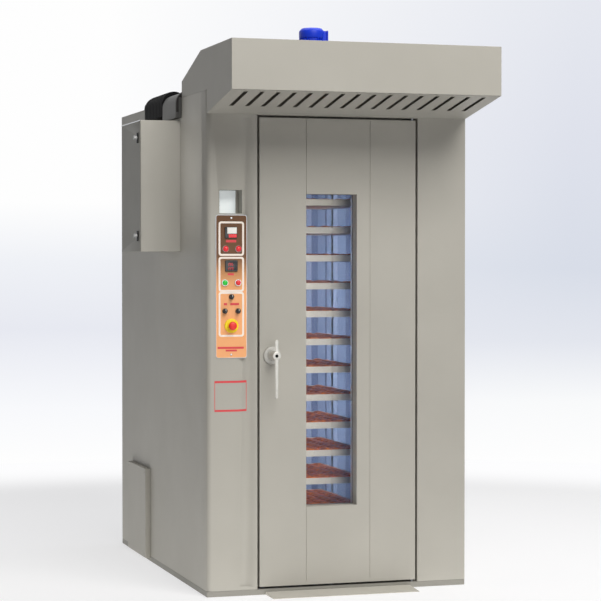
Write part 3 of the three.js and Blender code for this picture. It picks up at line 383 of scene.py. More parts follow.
MATT_BLACK = grained_plastic("matt_black_lacquer", "#08080a", "#101011", 0.85, gloss=0.15)
BLACK_PLASTIC = grained_plastic("black_moulded_plastic", "#0f0f10", "#1b1b1c", 0.42)
GLOSS_BLACK = grained_plastic("gloss_black_plastic", "#0b0b0c", "#131314", 0.16, 0.8, 0.02)
GREEN_PLASTIC = lit_plastic("green_push_cap", "#1fbe35", 0.15)
RED_PLASTIC = lit_plastic("red_push_cap", "#e0262c", 0.12)
LAMP_RED = lit_plastic("red_lamp_lens", "#e01f2a", 0.2, 0.12)
STOP_RED = grained_plastic("emergency_red_plastic", "#f02a24", "#f53430", 0.3, 0.8, 0.03)
STOP_YELLOW = grained_plastic("emergency_yellow_plastic", "#ffdf0a", "#ffe81c", 0.35, 0.8, 0.03)
WHITE_PRINT = grained_plastic("white_screen_print", "#fff0e2", "#fff6ee", 0.45, 0.8, 0.02)
RED_PRINT = grained_plastic("red_screen_print", "#d8434a", "#e04c50", 0.5, 0.8, 0.03)
DIGIT_RED = lit_plastic("red_led_segment", "#d01c24", 0.5)
CREAM_PLASTIC = grained_plastic("white_moulded_plastic", "#f2f0ea", "#fbfaf6", 0.35, 0.8, 0.04)
SILICONE = grained_plastic("black_silicone", "#201e1c", "#2b2826", 0.75, 1.5, 0.2)
WHEEL_RESIN = grained_plastic("glass_filled_wheel_resin", "#151312", "#26221f", 0.6, 1.5, 0.3)
FILM = control_film()
GLASS = window_glass()
CRUST = baked_crust()
GLAZE = baking_sheet_glaze()
DISPLAY = display_diffuser()
WOOL = mineral_wool()
HOT_STEEL = heat_tinted_steel()


# ------------------------------------------------------------------ shape tools
def place_mesh(name, mesh, body, stands_for=(), crease=35):
    """Makes a mesh that has its material a piece that rides on a body. Its edges are
    sharp where the surface turns by more degrees than crease."""
    mesh.name = name
    mesh.polygons.foreach_set("use_smooth", [True] * len(mesh.polygons))
    mesh.set_sharp_from_angle(angle=math.radians(crease))
    piece = bpy.data.objects.new(name, mesh)
    scene.collection.objects.link(piece)
    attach(piece, body)
    if stands_for:
        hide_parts(*stands_for)
    return piece


def place_piece(name, bm, material, body, stands_for=()):
    """Makes a bmesh a piece of one material."""
    bmesh.ops.recalc_face_normals(bm, faces=bm.faces)
    mesh = bpy.data.meshes.new(name)
    bm.to_mesh(mesh)
    bm.free()
    mesh.materials.append(material)
    return place_mesh(name, mesh, body, stands_for)


def point(x, y, z):
    """A place on the drawing: mm from the middle of the front's foot."""
    return Vector((mm(x), FRONT + mm(y), mm(z)))


def add_block(bm, low, high):
    """A closed box between two corners."""
    low, high = point(*low), point(*high)
    matrix = Matrix.Translation((low + high) / 2) @ Matrix.Diagonal((*(high - low), 1))
    return bmesh.ops.create_cube(bm, size=1, matrix=matrix)["verts"]


AXES = {
    "-Y": (Vector((0, -1, 0)), Vector((1, 0, 0))),
    "+Z": (Vector((0, 0, 1)), Vector((1, 0, 0))),
    "+Y": (Vector((0, 1, 0)), Vector((1, 0, 0))),
    "-X": (Vector((-1, 0, 0)), Vector((0, 1, 0))),
}


def add_turned(bm, profile, centre, axis="-Y", steps=32, ring=False):
    """A turned shape about an axis through centre. The profile is a list of (radius,
    distance along the axis). It starts and ends on the axis, or closes on itself
    where the shape is a ring."""
    along, side = AXES[axis]
    other = along.cross(side)
    loops = []
    for radius, distance in profile:
        middle = point(*centre) + along * mm(distance)
        turns = [2 * math.pi * i / steps for i in range(steps)] if radius else [0]
        loops.append([
            bm.verts.new(middle + mm(radius) * (math.cos(t) * side + math.sin(t) * other))
            for t in turns
        ])
    pairs = list(zip(loops, loops[1:] + loops[:1]))
    for first, second in pairs if ring else pairs[:-1]:
        for i in range(steps):
            corners = [
                first[i % len(first)], first[(i + 1) % len(first)],
                second[(i + 1) % len(second)], second[i % len(second)],
            ]
            corners = list(dict.fromkeys(corners))
            if len(corners) > 2:
                bm.faces.new(corners)


def arc(cx, cz, radius, degrees):
    """Points of a circle in (x, z), at angles from +X towards +Z."""
    return [
        (cx + radius * math.cos(turn), cz + radius * math.sin(turn))
        for turn in map(math.radians, degrees)
    ]


def circle(cx, cz, radius, steps=24):
    """A closed circle in (x, z)."""
    return arc(cx, cz, radius, [360 * i / steps for i in range(steps)])


def rounded_outline(x0, x1, z0, z1, radius, steps=6):
    """The corners of a rounded rectangle in (x, z), anticlockwise."""
    points = []
    for cx, cz, start in (
        (x1 - radius, z1 - radius, 0),
        (x0 + radius, z1 - radius, 90),
        (x0 + radius, z0 + radius, 180),
        (x1 - radius, z0 + radius, 270),
    ):
        points += arc(cx, cz, radius, [start + 90 * i / steps for i in range(steps + 1)])
    return points


def join_loops(bm, first, second):
    """A band of faces between two closed loops with the same number of points."""
    for i, corner in enumerate(first):
        j = (i + 1) % len(first)
        bm.faces.new([corner, first[j], second[j], second[i]])


def rim_edges(bm, loop):
    """The edges along a closed loop of points."""
    return [bm.edges.get(pair) for pair in zip(loop, loop[1:] + loop[:1])]


def edges_at(corners):
    """Every edge that meets one of these corners, in a fixed order."""
    return list(dict.fromkeys(edge for corner in corners for edge in corner.link_edges))


def round_edges(bm, edges, width, segments, **more):
    """Rounds edges off, width being in metres."""
    bmesh.ops.bevel(
        bm, geom=edges, offset=width, offset_type="OFFSET", segments=segments, affect="EDGES",
        **more,
    )


def add_slab(bm, outline, y0, y1, front=0.0, back=0.0, holes=()):
    """An outline in (x, z) made solid from y0 to y1, with holes right through, and
    with its front and back edges rounded off."""
    loops = [outline, *holes]
    triangles = tessellate_polygon([[Vector((x, z, 0)) for x, z in loop] for loop in loops])
    sides = []
    for y in (y0, y1):
        verts = [bm.verts.new(point(x, y, z)) for loop in loops for x, z in loop]
        faces = [[verts[i] for i in three] for three in triangles] if holes else [verts]
        for face in faces:
            bm.faces.new(face)
        sides.append(verts)
    start = 0
    for loop in loops:
        join_loops(bm, *(side[start : start + len(loop)] for side in sides))
        start += len(loop)
    rims = [rim_edges(bm, side[: len(outline)]) for side in sides]
    for rim, width in zip(rims, (front, back)):
        if width:
            round_edges(bm, rim, mm(width), 3, profile=0.5, clamp_overlap=True)


def add_frame(bm, outer, inner, y0, y1):
    """A closed ring between two outlines with the same number of points."""
    rings = [
        [bm.verts.new(point(x, y, z)) for x, z in outline]
        for y, outline in ((y0, outer), (y0, inner), (y1, inner), (y1, outer))
    ]
    for first, second in zip(rings, rings[1:] + rings[:1]):
        join_loops(bm, first, second)


def add_prism(bm, outline, low, high, axis="Z"):
    """An outline made solid along an axis: (x, y) along Z, or (y, z) along X. Returns the
    points of its two ends."""
    ends = [
        [bm.verts.new(point(a, b, at) if axis == "Z" else point(at, a, b)) for a, b in outline]
        for at in (low, high)
    ]
    bm.faces.new(ends[0])
    bm.faces.new(list(reversed(ends[1])))
    join_loops(bm, *ends)
    return ends


SCREW = (  # a socket screw's domed head of 10 mm
    (0, 0.9), (1.5, 0.9), (1.7, 2.2), (2.3, 2.6), (3.6, 2.1), (4.6, 1.1), (5, 0), (5, -1), (0, -1),
)


def add_screw(bm, centre, axis="-Y", scale=1.0):
    """A socket screw's head, its underside at centre."""
    add_turned(bm, [(r * scale, d * scale) for r, d in SCREW], centre, axis, 16)


SAME_PLACE = mm(0.01)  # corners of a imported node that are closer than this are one


def cad_copy(node):
    """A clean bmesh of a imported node: merged, with its flat faces whole."""
    bm = bmesh.new()
    bm.from_mesh(nodes[node].data)
    bmesh.ops.remove_doubles(bm, verts=bm.verts, dist=SAME_PLACE)
    bmesh.ops.dissolve_limit(
        bm, angle_limit=math.radians(1), verts=bm.verts, edges=bm.edges, delimit={"NORMAL"}
    )
    return bm


CUT_ALL_OVER = ("roof_panel", "front_frame")  # flat faces split until each is convex
FOLD = math.radians(40)  # edges that turn by more than this are rounded
SHEET_AREA, SHEET_WIDTH = 0.02, mm(10)  # a flat face past both isn't shaded with its edges


def softened(node, material, width):
    """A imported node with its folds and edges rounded, in place of the sharp one."""
    bm = cad_copy(node)
    if node in CUT_ALL_OVER:
        bmesh.ops.connect_verts_concave(bm, faces=bm.faces[:])
    folds = [e for e in bm.edges if len(e.link_faces) == 2 and e.calc_face_angle(0) > FOLD]
    round_edges(bm, folds, mm(width), 2, profile=0.5, clamp_overlap=True)
    rounded = [
        f.calc_area() < SHEET_AREA or 2 * f.calc_area() / f.calc_perimeter() < SHEET_WIDTH
        for f in bm.faces
    ]
    piece = place_piece(f"{node}_skin", bm, material, nodes[node]["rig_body"], [node])
    piece.data.polygons.foreach_set("use_smooth", rounded)


# ------------------------------------------------------------------- sheet metal
for node, material, slot, width in (
    ("base_frame", BASE_AND_PAINTED_SHADE_COAT, "base_enamel", 1.5),
    ("entry_ramp", RAMP_COAT, "enamel_shade", 0.8),
    ("left_side_panel", ENAMEL, "enamel", 0.6),
    ("right_side_panel", ENAMEL, "enamel", 0.6),
    ("rear_panel", ENAMEL, "enamel", 0.6),
    ("roof_panel", ENAMEL, "enamel_shade", 0.6),
    ("front_frame", ENAMEL, "enamel", 0.6),
    ("hood_shell", ENAMEL, "enamel", 0.7),
    ("hood_baffle", UNDERSIDE, "enamel_shade", 0.5),
    ("door_leaf", ENAMEL, "enamel", 0.8),
    ("door_liner", STAINLESS, "stainless", 0.6),
    ("cabinet_box", ENAMEL, "enamel", 0.7),
    # the cabinet door takes the darker coat as painted shade
    ("cabinet_door", BASE_AND_PAINTED_SHADE_COAT, "enamel", 1.0),
    ("access_cover", ENAMEL, "enamel", 0.8),
    ("burner_body", BURNER_GREY, "burner_casting", 3.0),
    ("drive_bracket", BOLT_STEEL, "steel", 0.8),
):
    softened(node, material, width)


COLUMN_BEND, COLUMN_WALL = mm(22), mm(2)  # the bend's outer radius, the sheet's thickness


def front_column():
    """The left column, a folded pan with its outer front corner well rounded."""
    bm = cad_copy("front_column")
    for inset in (0, COLUMN_WALL):
        x, y = -HALF_WIDTH + inset, FRONT + inset
        corner = [
            e for e in bm.edges
            if all(abs(v.co.x - x) < mm(0.2) and abs(v.co.y - y) < mm(0.2) for v in e.verts)
        ]
        round_edges(bm, corner, COLUMN_BEND - inset, 8, profile=0.5)
    place_piece("column_skin", bm, ENAMEL, "casing", ["front_column"])


front_column()

SLOTS, SLOT_PITCH, SLOT_WIDTH = 16, 68.5, 26  # in the hood's underside


def slot_lips():
    """The lip folded along the left side of each of the hood's slots. It follows the
    slope of the baffle and starts inside it."""
    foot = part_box("hood_baffle")[0][2] / mm(1)
    slope, back, front = 0.1704, -133, -367
    lower, upper = 0.4, 1.7  # the lip's two faces over the baffle's underside
    overlap, reach = 1, 8
    outline = [
        (y, foot - y * slope + lift)
        for y, lift in ((back, lower), (front, lower), (front, upper), (back, upper))
    ]
    bm = bmesh.new()
    for i in range(SLOTS):
        left = (i - (SLOTS - 1) / 2) * SLOT_PITCH - SLOT_WIDTH / 2
        add_prism(bm, outline, left - overlap, left + reach, axis="X")
    place_piece("slot_lips", bm, UNDERSIDE, "casing")


slot_lips()

# --------------------------------------------------------------- bare CAD nodes
for material, *bare in (
    (STAINLESS, "chamber_floor", "liner_left", "liner_right", "liner_rear", "liner_top"),
    (WOOL, "insulation_jacket"),
    (GLASS, "door_glass"),
    (SILICONE, "door_gasket"),
    (HOT_STEEL, "firing_drum", "heat_exchanger"),
    (BOLT_STEEL, "hinge_rod", "fan_impeller", "main_gear", "pinion", "rack_shaft"),
    (BLUED_PAINTED_HALF_SHADE, "rack_frame"),
    (WHEEL_RESIN, "front_wheelset", "rear_wheelset"),
    (TRAY_STEEL, *(f"tray_{i + 1:02d}" for i in range(LEVELS))),
):
    for node in bare:
        nodes[node].data.materials.clear()
        nodes[node].data.materials.append(material)

# --------------------------------------------------------------------- controls
PLATE, PLATE_BACK = -3.3, -0.3  # the control plate's face and its back
LEFT, MIDDLE, RIGHT = -502.5, -474, -445.5  # the controls' three columns
PUSH_HEIGHT, LAMP_HEIGHT, STOP_HEIGHT = 1322, 1464, 1141
SELECTORS = {
    "selector_top": (MIDDLE, 1263, "top_selector"),
    "selector_left": (LEFT, 1203, "left_selector"),
    "selector_right": (RIGHT, 1203, "right_selector"),
}
INK = 0.25  # printed lines stand this far out of the plate
PUSH_BORE, KNOB_BORE = 11.3, 5.3  # radii of the holes in the plate


def control_plate():
    """The film-covered plate, its trim, and what is printed on it."""
    bm = bmesh.new()
    holes = [circle(x, PUSH_HEIGHT, PUSH_BORE) for x in (LEFT, RIGHT)]
    holes += [circle(x, z, KNOB_BORE, 16) for x, z, _ in SELECTORS.values()]
    holes.append(circle(MIDDLE, STOP_HEIGHT, KNOB_BORE, 16))
    add_slab(bm, rounded_outline(-540, -408, 1007, 1605, 10), PLATE, PLATE_BACK, holes=holes)
    place_piece("control_film", bm, FILM, "casing", ["control_plate"])

    bm = bmesh.new()
    add_frame(
        bm, rounded_outline(-541.8, -406.2, 1005.2, 1606.8, 11.8),
        rounded_outline(-540.1, -407.9, 1006.9, 1605.1, 10.1), PLATE - 0.4, PLATE_BACK,
    )
    place_piece("plate_trim", bm, STAINLESS, "casing")

    bm = bmesh.new()
    for low, high in ((1435, 1579), (1284, 1430.5), (1095, 1283.5)):
        add_frame(
            bm, rounded_outline(-529.5, -419, low, high, 11),
            rounded_outline(-521.5, -427, low + 8, high - 8, 5), PLATE - INK, PLATE + INK,
        )
    place_piece("printed_frames", bm, WHITE_PRINT, "casing")

    bm = bmesh.new()
    for x0, x1, z0, z1 in (
        (-497, -453, 1491, 1501.5), (-490, -463, 1353, 1362), (-507, -493, 1227, 1237),
        (-479, -441, 1227, 1237), (-534, -420, 1044, 1053), (-499, -450, 1033, 1041),
    ):
        add_slab(bm, rounded_outline(x0, x1, z0, z1, 1.5, 3), PLATE - INK, PLATE + INK)
    place_piece("printed_bars", bm, RED_PRINT, "casing")


def push_buttons():
    """Chrome bezels with a domed green and a domed red cap."""
    bezel = (
        (PUSH_BORE, 3.3), (PUSH_BORE, 7.4), (12, 8.3), (13.5, 8.3), (14.5, 7.4), (14.8, 6.2),
        (14.8, 3.3),
    )
    bm = bmesh.new()
    for x in (LEFT, RIGHT):
        add_turned(bm, bezel, (x, 0, PUSH_HEIGHT), ring=True)
    place_piece("push_bezels", bm, CHROME, "casing")
    dome = ((0, 14.3), (4, 14.1), (7.4, 13.3), (9.8, 11.9), (11, 10), (11, -2), (0, -2))
    for name, x, material, body, slot in (
        ("start", LEFT, GREEN_PLASTIC, "start", "green_plastic"),
        ("stop", RIGHT, RED_PLASTIC, "stop", "red_plastic"),
    ):
        bm = bmesh.new()
        add_turned(bm, dome, (x, 0, PUSH_HEIGHT))
        place_piece(f"{name}_cap", bm, material, body, [f"{name}_button"])


def signal_lamps():
    """Two red lenses in chrome rims."""
    rims, lenses = bmesh.new(), bmesh.new()
    for x in (-499.3, -443.3):
        rim = ((12, 3.1), (12, 6.6), (12.8, 7.3), (13.8, 6.6), (14.2, 5.4), (14.2, 3.1))
        add_turned(rims, rim, (x, 0, LAMP_HEIGHT), ring=True)
        lens = ((0, 13.2), (4, 12.8), (8, 11.2), (10.8, 8.4), (11.8, 5.6), (11.8, 3.1), (0, 3.1))
        add_turned(lenses, lens, (x, 0, LAMP_HEIGHT))
    place_piece("lamp_rims", rims, CHROME, "casing")
    place_piece("lamp_lenses", lenses, LAMP_RED, "casing")


def selector_knobs():
    """Gloss-black knobs: a coned skirt, a waisted grip and a white pointer line."""
    skirt = (
        (0, 12.2), (9.2, 12.2), (10.4, 11.6), (11.5, 5), (11.5, 3.6), (5, 3.6), (5, -8), (0, -8),
    )
    for name, (x, z, body) in SELECTORS.items():
        bm = bmesh.new()
        add_turned(bm, skirt, (x, 0, z))
        grip = [
            (x - 3.4, z - 10.4), (x + 3.4, z - 10.4), (x + 3.9, z - 6), (x + 2.6, z),
            (x + 3.9, z + 6), (x + 3.4, z + 10.4), (x - 3.4, z + 10.4), (x - 3.9, z + 6),
            (x - 2.6, z), (x - 3.9, z - 6),
        ]
        add_slab(bm, grip, -23.3, -12, front=1.1)
        place_piece(f"{name}_knob", bm, GLOSS_BLACK, body, [name])
        bm = bmesh.new()
        add_block(bm, (x - 0.7, -23.5, z + 1), (x + 0.7, -23.1, z + 9))
        place_piece(f"{name}_pointer", bm, WHITE_PRINT, body)


def emergency_stop():
    """A red mushroom head over a yellow collar."""
    bm = bmesh.new()
    collar = ((KNOB_BORE, 3.3), (KNOB_BORE, 9.3), (26.5, 9.3), (28.6, 8.7), (30, 7), (30, 3.3))
    add_turned(bm, collar, (MIDDLE, 0, STOP_HEIGHT), steps=48, ring=True)
    place_piece("stop_collar", bm, STOP_YELLOW, "casing")
    bm = bmesh.new()
    head = (
        (0, 35.3), (7, 35), (12, 33.9), (15.6, 31.8), (17.5, 28.8), (18, 25.6), (17.4, 22.8),
        (16, 21.3), (11, 21.3), (11, 16.3), (5, 16.3), (5, -8), (0, -8),
    )
    add_turned(bm, head, (MIDDLE, 0, STOP_HEIGHT), steps=40)
    place_piece("stop_mushroom", bm, STOP_RED, "estop", ["estop_button"])


SEGMENTS = {  # of a seven-segment digit, from the top clockwise, then the middle
    "0": "abcdef", "1": "bc", "2": "abdeg", "4": "bcfg", "5": "acdfg", "8": "abcdefg",
}
DIGIT_WIDTH, DIGIT_LINE, DIGIT_PITCH = 0.52, 0.13, 0.72  # against a digit's height
DIGIT_RELIEF = 0.2  # half of a digit's thickness


def add_digits(bm, text, x, z, height, y):
    """Seven-segment digits, their lower left corner at (x, z)."""
    line = height * DIGIT_LINE
    half, bar = height / 2, height * DIGIT_WIDTH - line
    short, upright = bar - line, half - 1.5 * line
    for index, digit in enumerate(text):
        left = x + index * height * DIGIT_PITCH
        boxes = {
            "a": (left + line, z + height - line, short, line),
            "b": (left + bar, z + half + line / 2, line, upright),
            "c": (left + bar, z + line, line, upright),
            "d": (left + line, z, short, line),
            "e": (left, z + line, line, upright),
            "f": (left, z + half + line / 2, line, upright),
            "g": (left + line, z + half - line / 2, short, line),
        }
        for key in SEGMENTS[digit]:
            bx, bz, w, h = boxes[key]
            add_block(bm, (bx, y - DIGIT_RELIEF, bz), (bx + w, y + DIGIT_RELIEF, bz + h))


def timer_and_controller():
    """The timer, with a white face plate, and the black temperature controller. Both
    stand out of the plate and show plain numbers."""
    bm = bmesh.new()
    add_slab(bm, rounded_outline(-502.5, -450, 1508.5, 1556, 2.5, 4), -8.5, PLATE, front=1)
    add_slab(bm, rounded_outline(-501.5, -447.5, 1368.5, 1416.5, 2.5, 4), -8.5, PLATE, front=1)
    add_frame(
        bm, rounded_outline(-498.5, -450.5, 1371.5, 1413.5, 1.5, 4),
        rounded_outline(-496, -453, 1374, 1411, 1, 4), -9.4, -8.3,
    )
    place_piece("instrument_cases", bm, GLOSS_BLACK, "casing")
    bm = bmesh.new()
    add_slab(bm, rounded_outline(-493, -452, 1528, 1554, 1.5, 4), -9.6, -8.3, front=0.4)
    place_piece("timer_face", bm, CREAM_PLASTIC, "casing")
    bm = bmesh.new()
    add_slab(bm, rounded_outline(-487, -452, 1511.5, 1525.5, 1, 4), -9.1, -8.3)
    place_piece("timer_window", bm, RED_PLASTIC, "casing")
    bm = bmesh.new()
    add_digits(bm, "1250", -484, 1513.5, 10, -9.2)
    add_digits(bm, "220", -489, 1377, 11, -8.7)
    add_digits(bm, "205", -489, 1394, 11, -8.7)
    place_piece("instrument_digits", bm, DIGIT_RED, "casing")


def plate_screws():
    """The two screws that hold the plate, at its top and near its foot."""
    bm = bmesh.new()
    for x, z in ((MIDDLE, 1593.8), (-475, 1020)):
        add_screw(bm, (x, PLATE, z))
    place_piece("plate_screws", bm, CHROME, "casing")


def niche_display():
    """The lit display at the back of the column's niche."""
    bm = bmesh.new()
    add_slab(bm, rounded_outline(-523.8, -437.9, 1614, 1711, 1, 3), 64, 69.7, front=0.6)
    place_piece("niche_display", bm, DISPLAY, "casing")


def bare_label():
    """A plain label place, bare inside its red outline. It follows the column's face
    into the finger groove."""
    bm = bmesh.new()
    bend, end, dip = -442, -402, 20.9  # the groove's edge, the label's, and its depth there

    def add_strip(x0, x1, z0, z1):
        """A printed line that bends with the face."""
        path = [(x, 0 if x <= bend else (x - bend) / (end - bend) * dip)
                for x in sorted({x0, x1, *([bend] if x0 < bend < x1 else [])})]
        outline = [(x, y - 0.3) for x, y in path] + [(x, y + 0.2) for x, y in reversed(path)]
        add_prism(bm, outline, z0, z1)

    add_strip(-547, end, 900.5, 909.5)
    add_strip(-547, end, 779.5, 788)
    add_strip(-547, -544.5, 788, 900.5)
    add_strip(end - 2.5, end, 788, 900.5)
    place_piece("label_lines", bm, RED_PRINT, "casing")


for build in (
    control_plate, push_buttons, signal_lamps, selector_knobs, emergency_stop,
    timer_and_controller, plate_screws, niche_display, bare_label,
):
    build()


# ------------------------------------------------------------------------- door
def door_handle():
    """A satin-chromed boss with a flat rounded lever, a dark plug in the boss, and the
    rosette on the leaf. The spindle goes through the door to the cam that draws it shut."""
    x, z = -295, 1014
    bm = bmesh.new()
    boss = (
        (0, 66), (6.4, 66), (6.8, 71.2), (7.6, 72), (14.6, 72), (17, 71), (18, 68.4),
        (18, 20), (18.6, 11), (21, 7.4), (8, 7.4), (8, -93.3), (0, -93.3),
    )
    add_turned(bm, boss, (x, 0, z), steps=36)
    lever = arc(x, z + 62.5, 6.5, range(0, 181, 15)) + arc(x, z - 173.4, 5.6, range(180, 361, 15))
    add_slab(bm, lever, -71, -62.5, front=2.6, back=2.2)
    cam = add_block(bm, (x - 30, 85.3, z - 11), (x + 11, 93.3, z + 11))
    round_edges(bm, edges_at(cam), mm(1.5), 2)
    place_piece("door_lever", bm, SATIN_CHROME, "handle", ["door_handle"])
    bm = bmesh.new()
    add_turned(bm, ((0, 71.7), (6.4, 71.7), (6.4, 65), (0, 65)), (x, 0, z), steps=20)
    place_piece("lever_plug", bm, MATT_BLACK, "handle")

    bm = bmesh.new()
    rosette = (
        (22, 6.9), (22, 7.3), (35, 7.3), (37.4, 6.4), (38.6, 4.4), (39, 0), (38.1, 0), (38.1, 6.9),
    )
    add_turned(bm, rosette, (x, 0, z), steps=48, ring=True)
    place_piece("handle_rosette", bm, ROSETTE_METAL, "door")


def window_trim():
    """The dark seal between the glass and the leaf's folded edge."""
    bm = bmesh.new()
    add_frame(
        bm, rounded_outline(-143.4, 83.4, 366.6, 1698.4, 2, 3),
        rounded_outline(-142, 82, 368, 1697, 2, 3), 57.2, 60.2,
    )
    place_piece("window_bead", bm, SILICONE, "door")


door_handle()
window_trim()


# -------------------------------------------------- baked goods and air guides
def new_group(name, **inputs):
    """A geometry node group with its inputs as name=kind, and its two end nodes."""
    group = bpy.data.node_groups.new(name, "GeometryNodeTree")
    for label, kind in {"Geometry": "Geometry", **inputs}.items():
        group.interface.new_socket(label, in_out="INPUT", socket_type=f"NodeSocket{kind}")
    group.interface.new_socket("Geometry", in_out="OUTPUT", socket_type="NodeSocketGeometry")
    return group, add_node(group, "NodeGroupInput"), add_node(group, "NodeGroupOutput")


def finish_group(group, start, end, copies):
    """Brings the copies to their centre, makes them real and gives them the material."""
    moved = add_node(group, "GeometryNodeTransform", {
        "Geometry": copies.outputs["Instances"], "Translation": start.outputs["Centre"],
    })
    real = add_node(group, "GeometryNodeRealizeInstances", {"Geometry": moved.outputs["Geometry"]})
    coloured = add_node(group, "GeometryNodeSetMaterial", {
        "Geometry": real.outputs["Geometry"], "Material": start.outputs["Material"],
    })
    group.links.new(coloured.outputs["Geometry"], end.inputs["Geometry"])
    return group


def apply_group(group, values, name):
    """Runs a node group on an empty mesh and returns the mesh that comes out."""
    carrier = bpy.data.objects.new(name, bpy.data.meshes.new(name))
    scene.collection.objects.link(carrier)
    modifier = carrier.modifiers.new(name, "NODES")
    modifier.node_group = group
    for item in group.interface.items_tree:
        if item.in_out == "INPUT" and item.name in values:
            modifier[item.identifier] = values[item.name]
    bpy.context.view_layer.update()
    shown = carrier.evaluated_get(bpy.context.evaluated_depsgraph_get())
    mesh = bpy.data.meshes.new_from_object(shown)
    bpy.data.objects.remove(carrier)
    return mesh


def rolls_group():
    """Rolls in rows on a tray: squashed spheres on a grid, each turned and sized a
    little by chance, with lumps of about 45 mm."""
    group, start, end = new_group(
        "tray_of_rolls", Length="Float", Width="Float", Rows="Int", Columns="Int",
        Centre="Vector", Seed="Int", Material="Material",
    )
    grid = add_node(group, "GeometryNodeMeshGrid", {
        "Size X": start.outputs["Width"], "Size Y": start.outputs["Length"],
        "Vertices X": start.outputs["Columns"], "Vertices Y": start.outputs["Rows"],
    })
    ball = add_node(group, "GeometryNodeMeshIcoSphere", {"Radius": mm(37), "Subdivisions": 3})
    lump = add_node(group, "ShaderNodeTexNoise", {"Scale": 22.0, "Detail": 1.0})
    push = add_node(group, "ShaderNodeVectorMath", {
        0: add_node(group, "GeometryNodeInputNormal").outputs["Normal"],
        "Scale": add_node(group, "ShaderNodeMapRange", {
            "Value": lump.outputs["Fac"], "To Min": mm(-6), "To Max": mm(6),
        }).outputs["Result"],
    }, operation="SCALE")
    lumpy = add_node(group, "GeometryNodeSetPosition", {
        "Geometry": ball.outputs["Mesh"], "Offset": push.outputs["Vector"],
    })
    turn = add_node(group, "FunctionNodeRandomValue", {
        "Min": (-0.06, -0.06, -0.5), "Max": (0.06, 0.06, 0.5), "Seed": start.outputs["Seed"],
    }, data_type="FLOAT_VECTOR")
    size = add_node(group, "FunctionNodeRandomValue", {
        "Min": (0.84, 0.76, 0.4), "Max": (1.0, 0.92, 0.5), "Seed": start.outputs["Seed"],
    }, data_type="FLOAT_VECTOR")
    rolls = add_node(group, "GeometryNodeInstanceOnPoints", {
        "Points": grid.outputs["Mesh"], "Instance": lumpy.outputs["Geometry"],
        "Rotation": turn.outputs["Value"], "Scale": size.outputs["Value"],
    })
    return finish_group(group, start, end, rolls)


TRAY_RIM, TRAY_PITCH = 328.3, 123.427  # the lowest rim's height, the step to the next


def baked_goods():
    """Rolls on every tray in their run-out glaze."""
    group = rolls_group()
    for level in range(LEVELS):
        rim = TRAY_RIM + TRAY_PITCH * level
        mesh = apply_group(group, {
            "Length": mm(500), "Width": mm(372), "Rows": 10, "Columns": 7,
            "Centre": point(0, 630, rim - 10), "Seed": level + 1, "Material": CRUST,
        }, f"rolls_{level + 1:02d}")
        place_mesh(f"rolls_{level + 1:02d}", mesh, "rack", crease=60)
        bm = bmesh.new()
        add_block(bm, (-222.6, 322.4, rim - 26.2), (222.6, 937.6, rim - 3))
        place_piece(f"glaze_{level + 1:02d}", bm, GLAZE, "rack")


baked_goods()


GUIDE_GAP = 0.4  # half of what is left open between two strips


def air_guides():
    """Upright strips in front of the rear liner's slots, which spread the hot air. The heat has
    blued them;
    their three tints are painted light, painted half shade and painted deep shade, set strip by
    strip for the light and dark between them. The slits at 309 to 317 stay open."""
    for name, painted_shade_copy, spans in (
        ("pale", BLUED_PAINTED_LIGHT, ((184, 209), (317, 341))),
        ("mid", BLUED_PAINTED_HALF_SHADE, ((0, 184), (240, 309), (341, 382))),
        ("deep", BLUED_PAINTED_DEEP_SHADE, ((209, 240), (382, 440))),
    ):
        # each span gets the copy painted with the light or shade that falls on that strip
        bm = bmesh.new()
        for near, far in spans:
            for low, high in ((near, far), (-far, -near)):
                add_block(bm, (low + GUIDE_GAP, 1048, 20), (high - GUIDE_GAP, 1051, 1860))
        place_piece(f"air_guides_{name}", bm, painted_shade_copy, "casing")


air_guides()


# -------------------------------------------------------------------- machinery
def fins_group():
    """Cooling fins round an upright motor."""
    group, start, end = new_group(
        "ring_of_fins", Count="Int", Radius="Float", Centre="Vector", Size="Vector",
        Material="Material",
    )
    ring = add_node(group, "GeometryNodeMeshCircle", {
        "Vertices": start.outputs["Count"], "Radius": start.outputs["Radius"],
    })
    cube = add_node(group, "GeometryNodeMeshCube", {"Size": start.outputs["Size"]})
    outward = add_node(group, "FunctionNodeAlignRotationToVector", {
        "Vector": add_node(group, "GeometryNodeInputPosition").outputs["Position"],
    }, axis="X", pivot_axis="Z")
    fins = add_node(group, "GeometryNodeInstanceOnPoints", {
        "Points": ring.outputs["Mesh"], "Instance": cube.outputs["Mesh"],
        "Rotation": outward.outputs["Rotation"],
    })
    return finish_group(group, start, end, fins)


FINS = fins_group()
HEX = ((0, 5.6), (5.4, 5.6), (6.4, 4.8), (6.4, 0), (6.4, -1), (0, -1))  # an M8 bolt's head


def add_rounded_block(bm, low, high, radius):
    """A box with all its edges rounded."""
    round_edges(bm, edges_at(add_block(bm, low, high)), mm(radius), 3)


